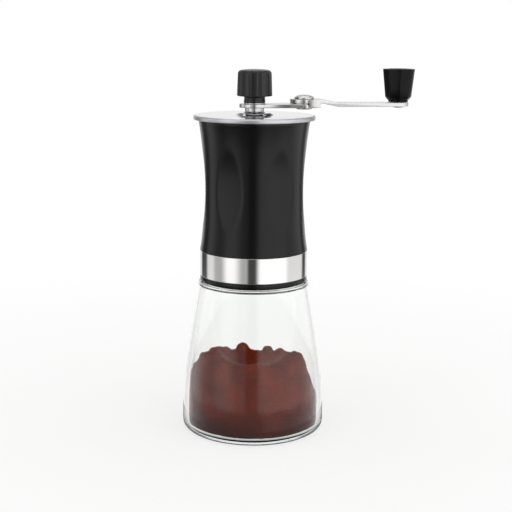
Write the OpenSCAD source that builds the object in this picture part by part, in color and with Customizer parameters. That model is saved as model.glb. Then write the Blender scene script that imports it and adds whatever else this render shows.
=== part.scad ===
// Hand crank coffee grinder: glass jar, screw-on mill body, burrs, lid and folding crank.
// Millimetres, +Z up. The origin is the centre of the jar's base, and the crank lies along +X.

/* [Jar] */
// Height of the glass up to its shoulder
jar_h = 80.4; // [76:0.2:84]
// Largest radius of the jar, near its base
jar_r = 37.85; // [36:0.05:40]
// Height at which the jar is widest
jar_wide_z = 10; // [9:0.5:14]
// Radius of the jar at its shoulder
shoulder_r = 29.25; // [29:0.05:30]
// Radius of the round over the shoulder
shoulder_round = 2.6; // [2:0.1:3]
// Radius of the round at the foot of the jar
foot_round = 4; // [3:0.5:5]
// Thickness of the glass
glass_t = 3; // [2.5:0.1:3.4]
// Thickness of the jar's floor
floor_t = 2.6; // [2.4:0.1:4]
// Radius of the round inside the foot of the jar
floor_round = 2.5; // [2:0.1:3]
// Outer radius of the jar's neck
neck_r = 25.2; // [24.9:0.1:25.4]
// Wall of the neck
neck_t = 2.6; // [2.3:0.1:2.7]
// Height of the neck above the shoulder
neck_h = 12; // [11:0.5:13]

/* [Coffee] */
// Height of the ground coffee at the glass
coffee_h = 32; // [20:1:36]
// Rise of the heap above that at its middle
heap_h = 10; // [6:0.5:12]
// Fall of the heap from its middle to its top edge
heap_crown = 0.8; // [0.4:0.1:1.5]
// Slope of the heap's far side, in degrees
heap_lean = 16; // [10:1:20]
// Lean of the side that has slipped from the glass, in degrees
slip_angle = 21; // [12:1:26]
// Height down the heap at which that side meets the glass again
slip_h = 14.5; // [10:0.5:16]
// Radius of the clumps along the heap's ridge
clump_r = 4.4; // [3.6:0.1:4.8]
// Radius of the biggest clump
big_clump_r = 5.4; // [4.9:0.1:5.8]
// Distance between the clumps
clump_pitch = 7.2; // [6.6:0.1:7.4]
// Height of the clumps above the heap
clump_rise = 1.3; // [0.8:0.1:2]
// Height of the biggest clump above the heap
big_clump_rise = 3.2; // [2.4:0.1:3.8]
// Gap between the coffee and the glass
coffee_gap = 0.15; // [0.1:0.05:0.4]

/* [Collar and band] */
// Height of the black lip under the band
lip_h = 2.9; // [2:0.1:4]
// Gap between the jar's shoulder and the lip
lip_gap = 0.6; // [0.3:0.1:1.5]
// Outer radius of the steel band
band_r = 28.5; // [28.4:0.05:29]
// Height of the steel band
band_h = 13.4; // [12:0.2:16]
// Thickness of the band's sheet
band_t = 0.4; // [0.3:0.05:0.6]
// Thickness of the seal on the jar's rim
seal_t = 1.5; // [1:0.1:2]
// Thickness of the deck that presses on the seal
deck_t = 2.6; // [2:0.2:4]

/* [Body] */
// Height of the waisted body above the band
body_h = 67.5; // [66:0.5:72]
// Radius of the body at its top
body_top_r = 29; // [28.8:0.05:29.2]
// Radius of the body just above the band
body_foot_r = 28.4; // [28.3:0.05:28.9]
// Radius of the body at its waist
waist_r = 26.6; // [26.4:0.05:27]
// Height of the waist above the band
waist_up = 33.7; // [31:0.5:35]
// Height of the hopper's straight wall above the waist
hopper_up = 4; // [3:0.5:5]
// Height of the mouth's rim hidden in the lid
mouth_h = 1.1; // [0.8:0.1:1.5]
// Number of thumb scallops round the body
scallops = 6; // [4:1:6]
// Drop of the scallops' middle below the waist
scallop_drop = 1; // [0:0.5:2]
// Depth of a scallop at the waist
scallop_depth = 1.4; // [1:0.05:1.5]
// Radius of a scallop's hollow across its width
scallop_hollow = 100; // [60:5:140]
// Radius of the arc that a scallop follows up the body
scallop_arc = 112; // [100:2:130]
// Turn of the first scallop from the crank
scallop_turn = 54; // [0:1:59]

/* [Hopper] */
// Radius of the hopper beside the waist
hopper_r = 22.5; // [21.5:0.1:22.8]
// Radius of the hopper's mouth
mouth_r = 26.1; // [25.8:0.05:26.3]
// Depth of the straight mouth that the lid plugs
mouth_depth = 7; // [6.5:0.1:8]
// Height of the funnel over the burr seat
funnel_h = 12; // [10:0.5:13]
// Radius of the funnel's throat
throat_r = 17.9; // [17.6:0.1:18.3]
// Number of arms that carry the bearing hub
arms = 3; // [3:1:4]
// Thickness of an arm
arm_t = 2.8; // [2:0.1:4]
// Height of an arm
arm_h = 9; // [7:0.5:10]
// Rise of the arms above the hub's foot
arm_rise = 1.2; // [0.8:0.1:1.8]
// Radius of the bearing hub
hub_r = 7.2; // [6.9:0.1:8]
// Length of the bearing hub
hub_h = 12; // [11.5:0.5:13]

/* [Burrs] */
// Radius of the bore that holds the outer burr
well_r = 20.6; // [20.4:0.1:20.7]
// Wall of the burr tube inside the neck
well_t = 1.6; // [1.4:0.1:1.7]
// Length of the burr tube below the deck
well_drop = 7.7; // [7:0.1:8]
// Height of the burr seat above the deck
seat_up = 10.1; // [9.6:0.1:11]
// Height of the outer burr
burr_h = 13.4; // [12.5:0.1:14]
// Radius of the outer burr's bore at its foot
ring_foot_r = 17.6; // [17.4:0.05:17.8]
// Number of fine teeth in the outer burr
ring_teeth = 36; // [24:2:40]
// Number of fine teeth on the inner burr
cone_teeth = 30; // [20:2:36]
// Number of coarse crushing ribs on each burr
crush_ribs = 6; // [4:1:8]
// Depth of a fine tooth
tooth_depth = 0.9; // [0.5:0.05:1.1]
// Twist of the teeth over each burr
tooth_twist = 24; // [10:1:35]
// Radius of the inner burr over its teeth, at its foot
cone_foot_r = 16.9; // [16.6:0.05:17]
// Height of the inner burr
cone_h = 15.4; // [14.5:0.1:16]
// Height of the fine grinding band on the inner burr
fine_h = 7.6; // [6.5:0.1:8.5]
// Radius of the inner burr where the fine band ends
cone_mid_r = 14; // [13.5:0.1:14.3]
// Radius of the inner burr's tip
cone_tip_r = 8.4; // [8:0.1:9]
// Rise of the inner burr's foot above the outer burr's
cone_rise = 0.6; // [0.4:0.1:0.8]
// Depth of a coarse crushing rib on the inner burr
rib_depth = 3.4; // [2.6:0.1:3.6]
// Depth of a coarse crushing rib at the outer burr's mouth
mouth_rib_depth = 2.2; // [1.6:0.1:2.4]
// Height of the outer burr's coarse mouth
burr_mouth_h = 5.5; // [4:0.5:6]
// Number of keys that stop the outer burr from turning
burr_keys = 3; // [2:1:4]
// Radius of a key
key_r = 1.2; // [1:0.1:1.5]
// Thickness of the retainer's foot flange
retainer_t = 1.4; // [1.2:0.1:1.6]
// Width of a finger slot in that flange
slot_w = 5; // [4:0.5:6]

/* [Shaft] */
// Radius of the shaft
shaft_r = 3; // [2.9:0.02:3.1]
// Distance across the shaft's driving flats
flat_w = 5; // [4.95:0.05:5.2]
// Radius over the threads at the shaft's ends
thread_r = 2.4; // [2.3:0.02:2.44]
// Thread length above the crank
top_thread_h = 12; // [10:0.5:12.5]
// Thread that shows below the adjusting nut
thread_tail = 3.2; // [2.6:0.2:3.4]
// Chamfer at the shaft's top end
tip_bevel = 0.5; // [0.3:0.1:0.8]
// Wall of the bearing bushes
bush_t = 1.54; // [1.3:0.02:1.8]
// Length of each bush inside the hub
bush_len = 5; // [4:0.5:5.5]
// Thickness of a bush's flange
bush_flange_t = 1; // [0.8:0.1:1.2]
// Radius of a bush's flange and of the thrust washer
bush_flange_r = 6.8; // [6:0.1:6.9]
// Thickness of the thrust washer
washer_t = 0.6; // [0.4:0.1:0.8]
// Thickness of the retaining clip
clip_t = 0.9; // [0.7:0.1:1]
// Radius of the retaining clip
clip_r = 5.4; // [5:0.1:6]
// Width of the clip's mouth
clip_mouth = 3.2; // [2.8:0.2:4]
// Depth of the groove that the clip sits in
groove_t = 0.5; // [0.4:0.05:0.6]
// Wire diameter of the burr spring
wire_d = 1.1; // [0.9:0.05:1.2]
// Mean radius of the burr spring
coil_r = 5; // [4.7:0.1:5.4]
// Turns of the burr spring
coil_turns = 3.5; // [3:0.5:4]

/* [Adjuster] */
// Radius of the adjusting nut
nut_r = 11; // [10:0.2:12]
// Height of the adjusting nut
nut_h = 5; // [4:0.2:5.4]
// Number of finger hollows round the nut
nut_hollows = 8; // [6:1:10]
// Radius of a finger hollow
nut_hollow_r = 2.4; // [2:0.1:2.8]
// Bevel round the nut's top edge
nut_bevel = 1; // [0.6:0.1:1.2]
// Radius of the plastic core's flange
core_flange_r = 11; // [10:0.2:12]
// Thickness of that flange
core_flange_t = 1.3; // [1:0.1:1.5]
// Radius of the core inside the inner burr
core_r = 6.2; // [5.8:0.1:6.4]
// Height by which the core stands above the inner burr
core_show = 0.6; // [0.4:0.1:0.8]
// Radius of the washer under the burr spring
spring_washer_r = 6.8; // [6.5:0.1:7.2]
// Travel of the inner burr from coarse to fine
travel = 1.2; // [0.8:0.1:1.4]
// Thickness of the detent washer
detent_t = 0.8; // [0.6:0.1:1]
// Radius of the detent washer
detent_r = 8.6; // [8:0.1:10]
// Number of its detent hollows
detents = 6; // [4:1:8]
// Radius of a detent hollow
detent_hole_r = 0.8; // [0.6:0.1:0.9]

/* [Lid] */
// Outer radius of the lid's rolled rim
lid_r = 31.7; // [31.5:0.05:32.5]
// Thickness of the lid's sheet
lid_t = 0.8; // [0.6:0.05:1]
// Depth of the lid's rim
lid_rim_h = 2.3; // [2.1:0.1:2.6]
// Radius of the raised boss at the foot of the shaft
boss_r = 10.5; // [9.5:0.1:12]
// Height of the raised boss
boss_h = 1.2; // [0.8:0.1:1.4]
// Slope of the boss's side
boss_slope = 1.6; // [1.2:0.1:2]
// Round over the lid's outer edge
lid_round = 1; // [0.8:0.1:1.2]
// Height of the guide tube's end above the boss
guide_show = 0.2; // [0.1:0.1:0.3]
// Thickness of the lid insert's flange
flange_t = 1.3; // [1:0.1:1.4]
// Wall of the lid insert's skirt
skirt_t = 1.8; // [1.4:0.1:2.2]
// Depth of that skirt in the mouth
skirt_h = 6.3; // [5:0.1:6.4]
// Outer radius of the tube that guides the shaft
guide_r = 5.4; // [5:0.1:5.8]
// Length of that tube below the lid
guide_h = 10; // [8:0.5:11]

/* [Crank] */
// Distance from the shaft to the folding pivot
link_len = 26; // [25:0.5:30]
// Distance from the folding pivot to the knob's pin
arm_len = 50; // [46:0.5:60]
// Thickness of the crank's plates
plate_t = 2; // [1.8:0.1:2.2]
// Radius of the hub end of the inner link
link_hub_r = 8; // [7.5:0.1:9]
// Width of the inner link between its ends
link_w = 13; // [12:0.2:13.4]
// Radius of both plates round the pivot
eye_r = 7.5; // [7.2:0.1:7.8]
// Width of the arm at the joggle
arm_root_w = 12; // [11:0.2:12.2]
// Radius of the arm's end under the knob
arm_end_r = 5.4; // [5:0.1:5.8]
// Drop of the joggle that brings the arm level with the inner link
joggle_drop = 1.8; // [1.6:0.05:1.9]
// Distance from the pivot at which the joggle begins
joggle_from = 8.6; // [8.4:0.1:9]
// Length of the joggle
joggle_len = 9; // [7:0.5:10]
// Radius of the pivot rivet's shank
rivet_r = 2.2; // [2:0.05:2.4]
// Radius of its domed head
rivet_head_r = 5.2; // [4.8:0.05:5.6]
// Height of its domed head
rivet_head_h = 2.3; // [2:0.1:2.5]
// Thickness of the washer between the plates
pivot_washer_t = 0.3; // [0.2:0.05:0.4]
// Width of the bent-down stop lug
lug_w = 5.8; // [5:0.1:6.2]
// Distance of the stop's face beyond the pivot
stop_x = 1; // [0.8:0.1:2.5]
// Width of the stop beyond the eye
stop_out = 2.2; // [1.8:0.1:2.6]
// Length of the stop's shoulder along the inner link
shoulder_len = 8; // [6:0.5:10]
// Flat of the stop's edge, from the pivot's line back
shoulder_flat = 1.5; // [1:0.1:2.5]
// Depth of the stop lug below the inner link's top
lug_drop = 1.5; // [1.2:0.1:1.7]
// Height of the rivet head's straight edge
rivet_edge = 0.5; // [0.3:0.1:0.7]
// Height of the rivet's foot under the inner link
rivet_foot_h = 0.9; // [0.6:0.1:1.1]
// Height of the collar under the crank's hub
collar_h = 2.1; // [1.8:0.05:2.2]
// Radius of that collar
collar_r = 5; // [4.6:0.1:5.6]

/* [Handle knob] */
// Radius over the knob's corners at its top
knob_top_r = 8.5; // [8:0.1:10]
// Radius over the knob's corners above its neck
knob_low_r = 6.95; // [6.5:0.05:7.5]
// Height of the knob above the arm
knob_h = 17.1; // [16:0.2:20]
// Radius of the knob's round neck
knob_neck_r = 5.2; // [5:0.1:5.6]
// Height of the neck
knob_neck_h = 0.8; // [0.6:0.1:1.2]
// Height of the bevel between the neck and the sides
knob_bevel_h = 1.7; // [1.4:0.1:2]
// Sides of the knob
knob_sides = 8; // [6:1:10]
// Turn of the knob's corners about its pin
knob_turn = 37; // [0:1:59]
// Depth of the dish in the knob's top
dish_depth = 0.7; // [0.4:0.1:1]
// Depth of the pin's end below the knob's top
pin_short = 5; // [4:0.5:7]
// Snap collar's height over the pin
snap_h = 0.7; // [0.5:0.05:0.8]
// Radius of the pin that the knob turns on
pin_r = 2; // [1.8:0.05:2.2]
// Radius of the pin's head under the arm
pin_head_r = 3; // [2.8:0.1:3.4]
// Thickness of the pin's head
pin_head_t = 0.7; // [0.5:0.1:0.8]

/* [Lock knob] */
// Radius of the fluted part at its foot
lock_r = 9.15; // [8.8:0.05:10]
// Narrowing of the fluted part towards its top
lock_taper = 0.4; // [0.1:0.05:0.6]
// Height of the fluted part
lock_h = 13.8; // [13.5:0.1:16]
// Radius of its neck
lock_neck_r = 5.5; // [5.3:0.05:6]
// Height of its neck
lock_neck_h = 3.4; // [3:0.1:4]
// Number of grooves round it
flutes = 12; // [8:1:14]
// Radius of a groove
flute_r = 0.8; // [0.6:0.05:0.9]
// Radius of the round over its top edge
lock_round = 2; // [1.5:0.1:2.4]
// Rise of the slightly domed top
lock_crown = 0.5; // [0.3:0.1:0.7]
// Radius over the corners of the hexagonal insert
insert_r = 4.2; // [4:0.05:4.4]
// Thickness of the washer under the lock knob
lock_washer_t = 0.5; // [0.4:0.05:0.6]

/* [Fits] */
// Radial clearance of a turning fit
run_gap = 0.06; // [0.04:0.01:0.08]
// Clearance between parts that must pass each other
air_gap = 0.3; // [0.25:0.05:0.35]
// Radial clearance of the screwed and plugged joints
loose_gap = 0.4; // [0.3:0.05:0.4]
// Gap of a glued or pressed skin
skin_gap = 0.05; // [0.02:0.01:0.06]

/* [Hidden] */
$fn = 64;

// Heights, from the jar's base upwards
neck_z = jar_h + neck_h;
deck_z = neck_z + seal_t;
band_z = jar_h + lip_gap + lip_h;
foot_z = band_z + band_h;
body_z = foot_z + body_h;
mouth_z = body_z + mouth_h;
waist_z = foot_z + waist_up;
scallop_reach = scallop_hollow * 0.14;
heap_turn = -10;
seat_z = deck_z + seat_up;
funnel_z = seat_z + funnel_h;
hub_z = funnel_z;
burr_z = seat_z - burr_h;
well_z = deck_z - well_drop;

// The lid and what stands on it
plate_z = mouth_z + flange_t;
lid_z = plate_z + lid_t;
guide_top_z = lid_z + boss_h + guide_show;
collar_z = guide_top_z + air_gap;
link_z = collar_z + collar_h;
link_top_z = link_z + plate_t;
eye_z = link_top_z + pivot_washer_t + run_gap;
arm_z = eye_z - joggle_drop;
pin_x = link_len + arm_len;
knob_z = arm_z + plate_t + air_gap;
lock_z = link_top_z + lock_washer_t;
shaft_top_z = link_top_z + top_thread_h;

// The inner burr and its adjuster, downwards from its foot
cone_z = burr_z + cone_rise;
core_z = cone_z - core_flange_t;
detent_z = core_z - detent_t;
nut_z = detent_z - air_gap - nut_h;
shaft_foot_z = nut_z - thread_tail;
core_top_z = cone_z + cone_h + core_show;
spring_z = core_top_z + washer_t;
spring_top_z = hub_z - bush_flange_t - air_gap;

collar_in_r = neck_r + loose_gap;
bush_r = shaft_r + run_gap + bush_t;
knob_top_z = knob_z + knob_h;

// Colours
black_plastic = [0.09, 0.09, 0.10];
dark_plastic = [0.20, 0.20, 0.21];
steel = [0.78, 0.79, 0.80];
ceramic = [0.93, 0.92, 0.88];
brass = [0.80, 0.64, 0.30];
glass = [0.80, 0.90, 0.92, 0.45];
coffee = [0.30, 0.13, 0.07];
silicone = [0.88, 0.88, 0.86];

// Radius of the glass at height z: a sine sweep from the wide foot in to the shoulder
sweep = 125;
function jar_t(z) = max(0, (z - jar_wide_z) / (jar_h - jar_wide_z));
function jar_side(z) = jar_r - (jar_r - shoulder_r) * (1 - cos(sweep * jar_t(z))) / (1 - cos(sweep));

// Radius of the body at height z: it flares from the waist to both ends
function body_side(z) = z < waist_z
    ? waist_r + (body_foot_r - waist_r) * pow((waist_z - z) / waist_up, 3.4)
    : waist_r + (body_top_r - waist_r) * pow((z - waist_z) / (body_h - waist_up), 2.5);

// Points on an arc from angle a to angle b
function arc(x, y, r, a, b, n) = [for (i = [0:n]) [
    x + r * cos(a + (b - a) * i / n),
    y + r * sin(a + (b - a) * i / n)]];

// Points of a saw-toothed ring, with the teeth's tips on radius r
function saw(n, r, depth) = [for (i = [0:n - 1], k = [0, 1])
    (r - depth * k) * [cos((i + 0.7 * k) * 360 / n), sin((i + 0.7 * k) * 360 / n)]];

module ring(r, bore, z, h) {
    translate([0, 0, z])
    difference() {
        cylinder(r = r, h = h);
        translate([0, 0, -1])
        cylinder(r = bore, h = h + 2);
    }
}

// A round bore with two flats, which a flatted shaft drives
module flatted(r, across, h) {
    intersection() {
        cylinder(r = r, h = h);
        translate([-r, -across / 2, 0])
        cube([2 * r, across, h]);
    }
}

// ---- Jar ----

module glass_jar() {
    side_z = jar_h - shoulder_round;
    sides = 12;
    low_z = foot_round;
    in_low_z = floor_t + floor_round;
    outer = concat(
        [[0, 0]],
        arc(jar_side(low_z) - foot_round, foot_round, foot_round, -90, 0, 5),
        [for (i = [1:sides]) let (z = low_z + (side_z - low_z) * i / sides) [jar_side(z), z]],
        arc(jar_side(side_z) - shoulder_round, side_z, shoulder_round, 15, 90, 4),
        [[neck_r, jar_h], [neck_r, neck_z - 0.5], [neck_r - 0.5, neck_z]]);
    in_side_z = side_z - glass_t;
    inner = concat(
        [[neck_r - neck_t, neck_z], [neck_r - neck_t, jar_h - glass_t / 2]],
        arc(jar_side(in_side_z) - glass_t - shoulder_round, in_side_z, shoulder_round, 75, 15, 3),
        [for (i = [0:sides]) let (z = in_side_z + (in_low_z - in_side_z) * i / sides)
            [jar_side(z) - glass_t, z]],
        arc(jar_side(in_low_z) - glass_t - floor_round, in_low_z, floor_round, 0, -90, 5),
        [[0, floor_t]]);
    color(glass)
    rotate_extrude($fn = 96)
    polygon(concat(outer, inner));
}

module coffee_grounds() {
    base_z = floor_t + coffee_gap;
    low_z = base_z + floor_round;
    sides = 5;
    side_r = jar_side(coffee_h) - glass_t - coffee_gap;
    top_z = coffee_h + heap_h;
    outline = concat(
        [[0, base_z]],
        arc(jar_side(low_z) - glass_t - coffee_gap - floor_round, low_z, floor_round, -90, 0, 4),
        [for (i = [1:sides]) let (z = low_z + (coffee_h - low_z) * i / sides)
            [jar_side(z) - glass_t - coffee_gap, z]],
        [[side_r - heap_h * 0.9, top_z - heap_crown], [0, top_z]]);
    color(coffee)
    rotate([0, 0, heap_turn])
    union() {
        difference() {
            rotate_extrude($fn = 72)
            polygon(outline);
            // The far side slopes away
            translate([-jar_r, 0, top_z - heap_crown * 0.3])
            rotate([-heap_lean, 0, 0])
            cube([2 * jar_r, 2 * jar_r, jar_r]);
            // One side has slipped from the glass
            translate([side_r + 1, -jar_r, coffee_h - slip_h])
            rotate([0, -slip_angle, 0])
            cube([jar_r, 2 * jar_r, 2 * jar_r]);
        }
        // Clumps along the ridge, and a bigger one
        for (i = [-3:3])
            translate([clump_pitch * i, clump_r * 0.3, top_z - clump_r + clump_rise])
            sphere(r = clump_r, $fn = 24);
        translate([-clump_pitch * 0.8, clump_r * 0.3, top_z - big_clump_r + big_clump_rise])
        sphere(r = big_clump_r, $fn = 24);
    }
}

module jar_seal() {
    color(silicone)
    ring(neck_r, neck_r - neck_t, neck_z, seal_t);
}

// ---- Mill body ----

// One thumb scallop: a wide tube bent along a tall arc and sunk into the body's side
module scallop() {
    translate([waist_r - scallop_depth + scallop_arc, 0, waist_z - scallop_drop])
    rotate([90, 0, 0])
    rotate_extrude($fn = 96)
    translate([scallop_arc - scallop_hollow, 0])
    intersection() {
        circle(r = scallop_hollow, $fn = 128);
        translate([scallop_hollow - scallop_reach, -scallop_reach])
        square([scallop_reach * 1.1, scallop_reach * 2]);
    }
}

// The three-armed bridge that holds the shaft's bearings in the hopper
module bridge() {
    rise = hub_z + arm_rise;
    intersection() {
        cylinder(r = hopper_r + 0.9, h = body_z);
        for (i = [0:arms - 1])
            rotate([0, 0, 360 / arms * (i + 0.5)])
            rotate([90, 0, 90])
            linear_extrude(height = hopper_r + 2)
            polygon([
                [-arm_t / 2, rise],
                [arm_t / 2, rise],
                [arm_t / 2, rise + arm_h - arm_t / 2],
                [0, rise + arm_h],
                [-arm_t / 2, rise + arm_h - arm_t / 2]]);
    }
    translate([0, 0, hub_z])
    cylinder(r = hub_r, h = hub_h);
}

module mill_body() {
    steps = 12;
    skin_r = band_r - band_t - skin_gap;
    lip_r = band_r - 0.2;
    outer = concat(
        [[collar_in_r, band_z - lip_h], [lip_r - 0.6, band_z - lip_h], [lip_r, band_z - lip_h + 0.6]],
        [[lip_r, band_z], [skin_r, band_z], [skin_r, foot_z]],
        [for (i = [0:steps]) let (z = foot_z + waist_up * i / steps) [body_side(z), z]],
        [for (i = [1:steps]) let (z = waist_z + (body_h - waist_up) * i / steps) [body_side(z), z]],
        [[body_top_r, mouth_z]]);
    inner = [
        [mouth_r, mouth_z],
        [mouth_r, mouth_z - mouth_depth],
        [hopper_r, waist_z + hopper_up],
        [hopper_r, funnel_z],
        [throat_r, seat_z],
        [well_r, seat_z],
        [well_r, well_z],
        [well_r + well_t, well_z],
        [well_r + well_t, deck_z],
        [collar_in_r, deck_z]];
    color(black_plastic)
    difference() {
        union() {
            difference() {
                rotate_extrude($fn = 96)
                polygon(concat(outer, inner));
                for (i = [0:scallops - 1])
                    rotate([0, 0, scallop_turn + 360 / scallops * i])
                    scallop();
            }
            bridge();
            // Keys in the burr well
            for (i = [0:burr_keys - 1])
                rotate([0, 0, 360 / burr_keys * i])
                translate([well_r + 0.2, 0, burr_z])
                cylinder(r = key_r, h = burr_h + 0.2, $fn = 24);
        }
        // Bearing bore
        translate([0, 0, hub_z - 1])
        cylinder(r = bush_r, h = hub_h + 2);
    }
}

module steel_band() {
    color(steel)
    ring(band_r, band_r - band_t, band_z, band_h);
}

// ---- Burrs ----

module outer_burr() {
    ring_top_r = ring_foot_r - 0.3 * burr_h;
    tip = ring_foot_r + tooth_depth;
    color(ceramic)
    translate([0, 0, burr_z])
    difference() {
        cylinder(r = well_r - skin_gap, h = burr_h);
        // Fine teeth over the whole height
        translate([0, 0, -0.01])
        linear_extrude(height = burr_h + 0.02, twist = -tooth_twist, slices = 8,
            scale = (ring_top_r + tooth_depth) / tip)
        polygon(saw(ring_teeth, tip, tooth_depth));
        // Coarse lead-in ribs at the mouth
        translate([0, 0, burr_h - burr_mouth_h])
        linear_extrude(height = burr_mouth_h + 0.01, twist = -tooth_twist, slices = 5,
            scale = throat_r / (ring_top_r + 1.2))
        polygon(saw(crush_ribs, ring_top_r + 1.2, mouth_rib_depth));
        // Notches for the keys
        for (i = [0:burr_keys - 1])
            rotate([0, 0, 360 / burr_keys * i])
            translate([well_r + 0.2, 0, -1])
            cylinder(r = key_r + 0.1, h = burr_h + 2, $fn = 24);
    }
}

module inner_burr() {
    rib_h = cone_h - fine_h;
    color(ceramic)
    translate([0, 0, cone_z])
    difference() {
        union() {
            linear_extrude(height = fine_h, twist = tooth_twist, slices = 6,
                scale = cone_mid_r / cone_foot_r)
            polygon(saw(cone_teeth, cone_foot_r, tooth_depth));
            translate([0, 0, fine_h - 0.01])
            linear_extrude(height = rib_h, twist = 2.4 * tooth_twist, slices = 10,
                scale = cone_tip_r / cone_mid_r)
            polygon(saw(crush_ribs, cone_mid_r - 0.1, rib_depth));
            // Solid core that the ribs stand on
            translate([0, 0, fine_h - 0.01])
            cylinder(r1 = cone_mid_r - 3, r2 = core_r + 1.2, h = rib_h);
        }
        translate([0, 0, -1])
        cylinder(r = core_r + skin_gap, h = cone_h + 2);
    }
}

module burr_retainer() {
    color(dark_plastic)
    difference() {
        union() {
            ring(well_r - 0.1, throat_r + 0.1, well_z - retainer_t, burr_z - well_z + retainer_t);
            // Foot flange that closes the tube
            ring(well_r + well_t - 0.1, throat_r + 0.1, well_z - retainer_t, retainer_t);
        }
        // Finger slots in the flange
        for (i = [0:2])
            rotate([0, 0, 120 * i + 30])
            translate([throat_r - 1, -slot_w / 2, well_z - retainer_t - 1])
            cube([3.2, slot_w, retainer_t + 1.6]);
    }
}

// ---- Bearings ----

module lower_bush() {
    color(brass)
    translate([0, 0, hub_z])
    difference() {
        union() {
            cylinder(r = bush_r, h = bush_len);
            translate([0, 0, -bush_flange_t])
            cylinder(r = bush_flange_r, h = bush_flange_t);
        }
        translate([0, 0, -bush_flange_t - 1])
        cylinder(r = shaft_r + run_gap, h = bush_len + bush_flange_t + 2);
    }
}

module upper_bush() {
    color(brass)
    translate([0, 0, hub_z + hub_h])
    difference() {
        union() {
            translate([0, 0, -bush_len])
            cylinder(r = bush_r, h = bush_len);
            cylinder(r = bush_flange_r, h = bush_flange_t);
        }
        translate([0, 0, -bush_len - 1])
        cylinder(r = shaft_r + run_gap, h = bush_len + bush_flange_t + 2);
    }
}

// ---- Lid ----

module lid() {
    in_r = lid_r - lid_t;
    top = lid_z + boss_h;
    profile = concat(
        [[guide_r + 0.1, top - lid_t], [guide_r + 0.1, top], [boss_r - boss_slope, top], [boss_r, lid_z]],
        arc(lid_r - lid_round, lid_z - lid_round, lid_round, 90, 0, 5),
        [[lid_r, lid_z - lid_rim_h], [in_r, lid_z - lid_rim_h], [in_r, plate_z]],
        [[boss_r + 0.6, plate_z], [boss_r - boss_slope + 0.4, top - lid_t]]);
    color(steel)
    rotate_extrude($fn = 96)
    polygon(profile);
}

module lid_insert() {
    flange_r = lid_r - lid_t - air_gap;
    skirt_r = mouth_r - air_gap;
    bore_r = shaft_r + run_gap;
    color(black_plastic)
    rotate_extrude($fn = 96)
    polygon([
        [bore_r, mouth_z - guide_h],
        [guide_r, mouth_z - guide_h],
        [guide_r, mouth_z],
        [skirt_r - skirt_t, mouth_z],
        [skirt_r - skirt_t, mouth_z - skirt_h],
        [skirt_r - 0.6, mouth_z - skirt_h],
        [skirt_r, mouth_z - skirt_h + 0.6],
        [skirt_r, mouth_z],
        [flange_r, mouth_z],
        [flange_r, plate_z],
        [guide_r, plate_z],
        [guide_r, guide_top_z],
        [bore_r, guide_top_z]]);
}

// ---- Shaft ----

module shaft() {
    flat_z = detent_z + travel;
    flat_top_z = core_top_z + travel + air_gap;
    color(steel)
    difference() {
        union() {
            translate([0, 0, shaft_foot_z])
            cylinder(r = thread_r, h = flat_z - shaft_foot_z);
            // Lower flats, which drive the inner burr
            translate([0, 0, flat_z])
            flatted(shaft_r, flat_w, flat_top_z - flat_z);
            translate([0, 0, flat_top_z])
            cylinder(r = shaft_r, h = link_z - flat_top_z);
            // Upper flats, which the crank drives
            translate([0, 0, link_z])
            flatted(shaft_r, flat_w, plate_t - 0.2);
            translate([0, 0, link_top_z - 0.2])
            cylinder(r = thread_r, h = top_thread_h - tip_bevel + 0.2);
            translate([0, 0, shaft_top_z - tip_bevel])
            cylinder(r1 = thread_r, r2 = thread_r - tip_bevel, h = tip_bevel);
        }
        // Groove for the retaining clip
        ring(shaft_r + 1, shaft_r - groove_t, hub_z + hub_h + bush_flange_t + washer_t, clip_t);
    }
}

module thrust_washer() {
    color(steel)
    ring(bush_flange_r, shaft_r + run_gap, hub_z + hub_h + bush_flange_t, washer_t);
}

module shaft_clip() {
    clip_z = hub_z + hub_h + bush_flange_t + washer_t;
    color(dark_plastic)
    difference() {
        ring(clip_r, shaft_r - groove_t, clip_z, clip_t);
        translate([-clip_mouth / 2, 0, clip_z - 1])
        cube([clip_mouth, clip_r + 1, clip_t + 2]);
    }
}

// Cross-section ring of the coil at one point along it, for a swept tube
function coil_ring(turn, z, sides) = [for (k = [0:sides - 1])
    let (a = 360 * k / sides, r = coil_r + wire_d / 2 * cos(a))
    [r * cos(turn), r * sin(turn), z + wire_d / 2 * sin(a)]];

module burr_spring() {
    sides = 8;
    steps = ceil(coil_turns * 16);
    low = spring_z + wire_d / 2;
    rise = spring_top_z - spring_z - wire_d;
    points = [for (i = [0:steps]) each
        coil_ring(-360 * coil_turns * i / steps, low + rise * i / steps, sides)];
    walls = [for (i = [0:steps - 1], k = [0:sides - 1]) let (n = (k + 1) % sides)
        [i * sides + k, i * sides + n, (i + 1) * sides + n, (i + 1) * sides + k]];
    ends = [[for (k = [sides - 1:-1:0]) k], [for (k = [0:sides - 1]) steps * sides + k]];
    color(steel)
    polyhedron(points, concat(walls, ends));
}

module spring_washer() {
    color(steel)
    ring(spring_washer_r, shaft_r + run_gap, core_top_z, washer_t);
}

module burr_core() {
    color(dark_plastic)
    difference() {
        union() {
            translate([0, 0, core_z])
            cylinder(r = core_flange_r, h = core_flange_t);
            translate([0, 0, core_z])
            cylinder(r = core_r, h = core_top_z - core_z);
        }
        translate([0, 0, core_z - 1])
        flatted(shaft_r + run_gap, flat_w + 2 * run_gap, core_top_z - core_z + 2);
    }
}

module detent_washer() {
    color(steel)
    difference() {
        ring(detent_r, shaft_r + 0.1, detent_z, detent_t);
        // Detent hollows that the nut clicks over
        for (i = [0:detents - 1])
            rotate([0, 0, 360 / detents * i])
            translate([detent_r - 2.4, 0, detent_z - 1])
            cylinder(r = detent_hole_r, h = detent_t + 2, $fn = 16);
    }
}

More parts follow.
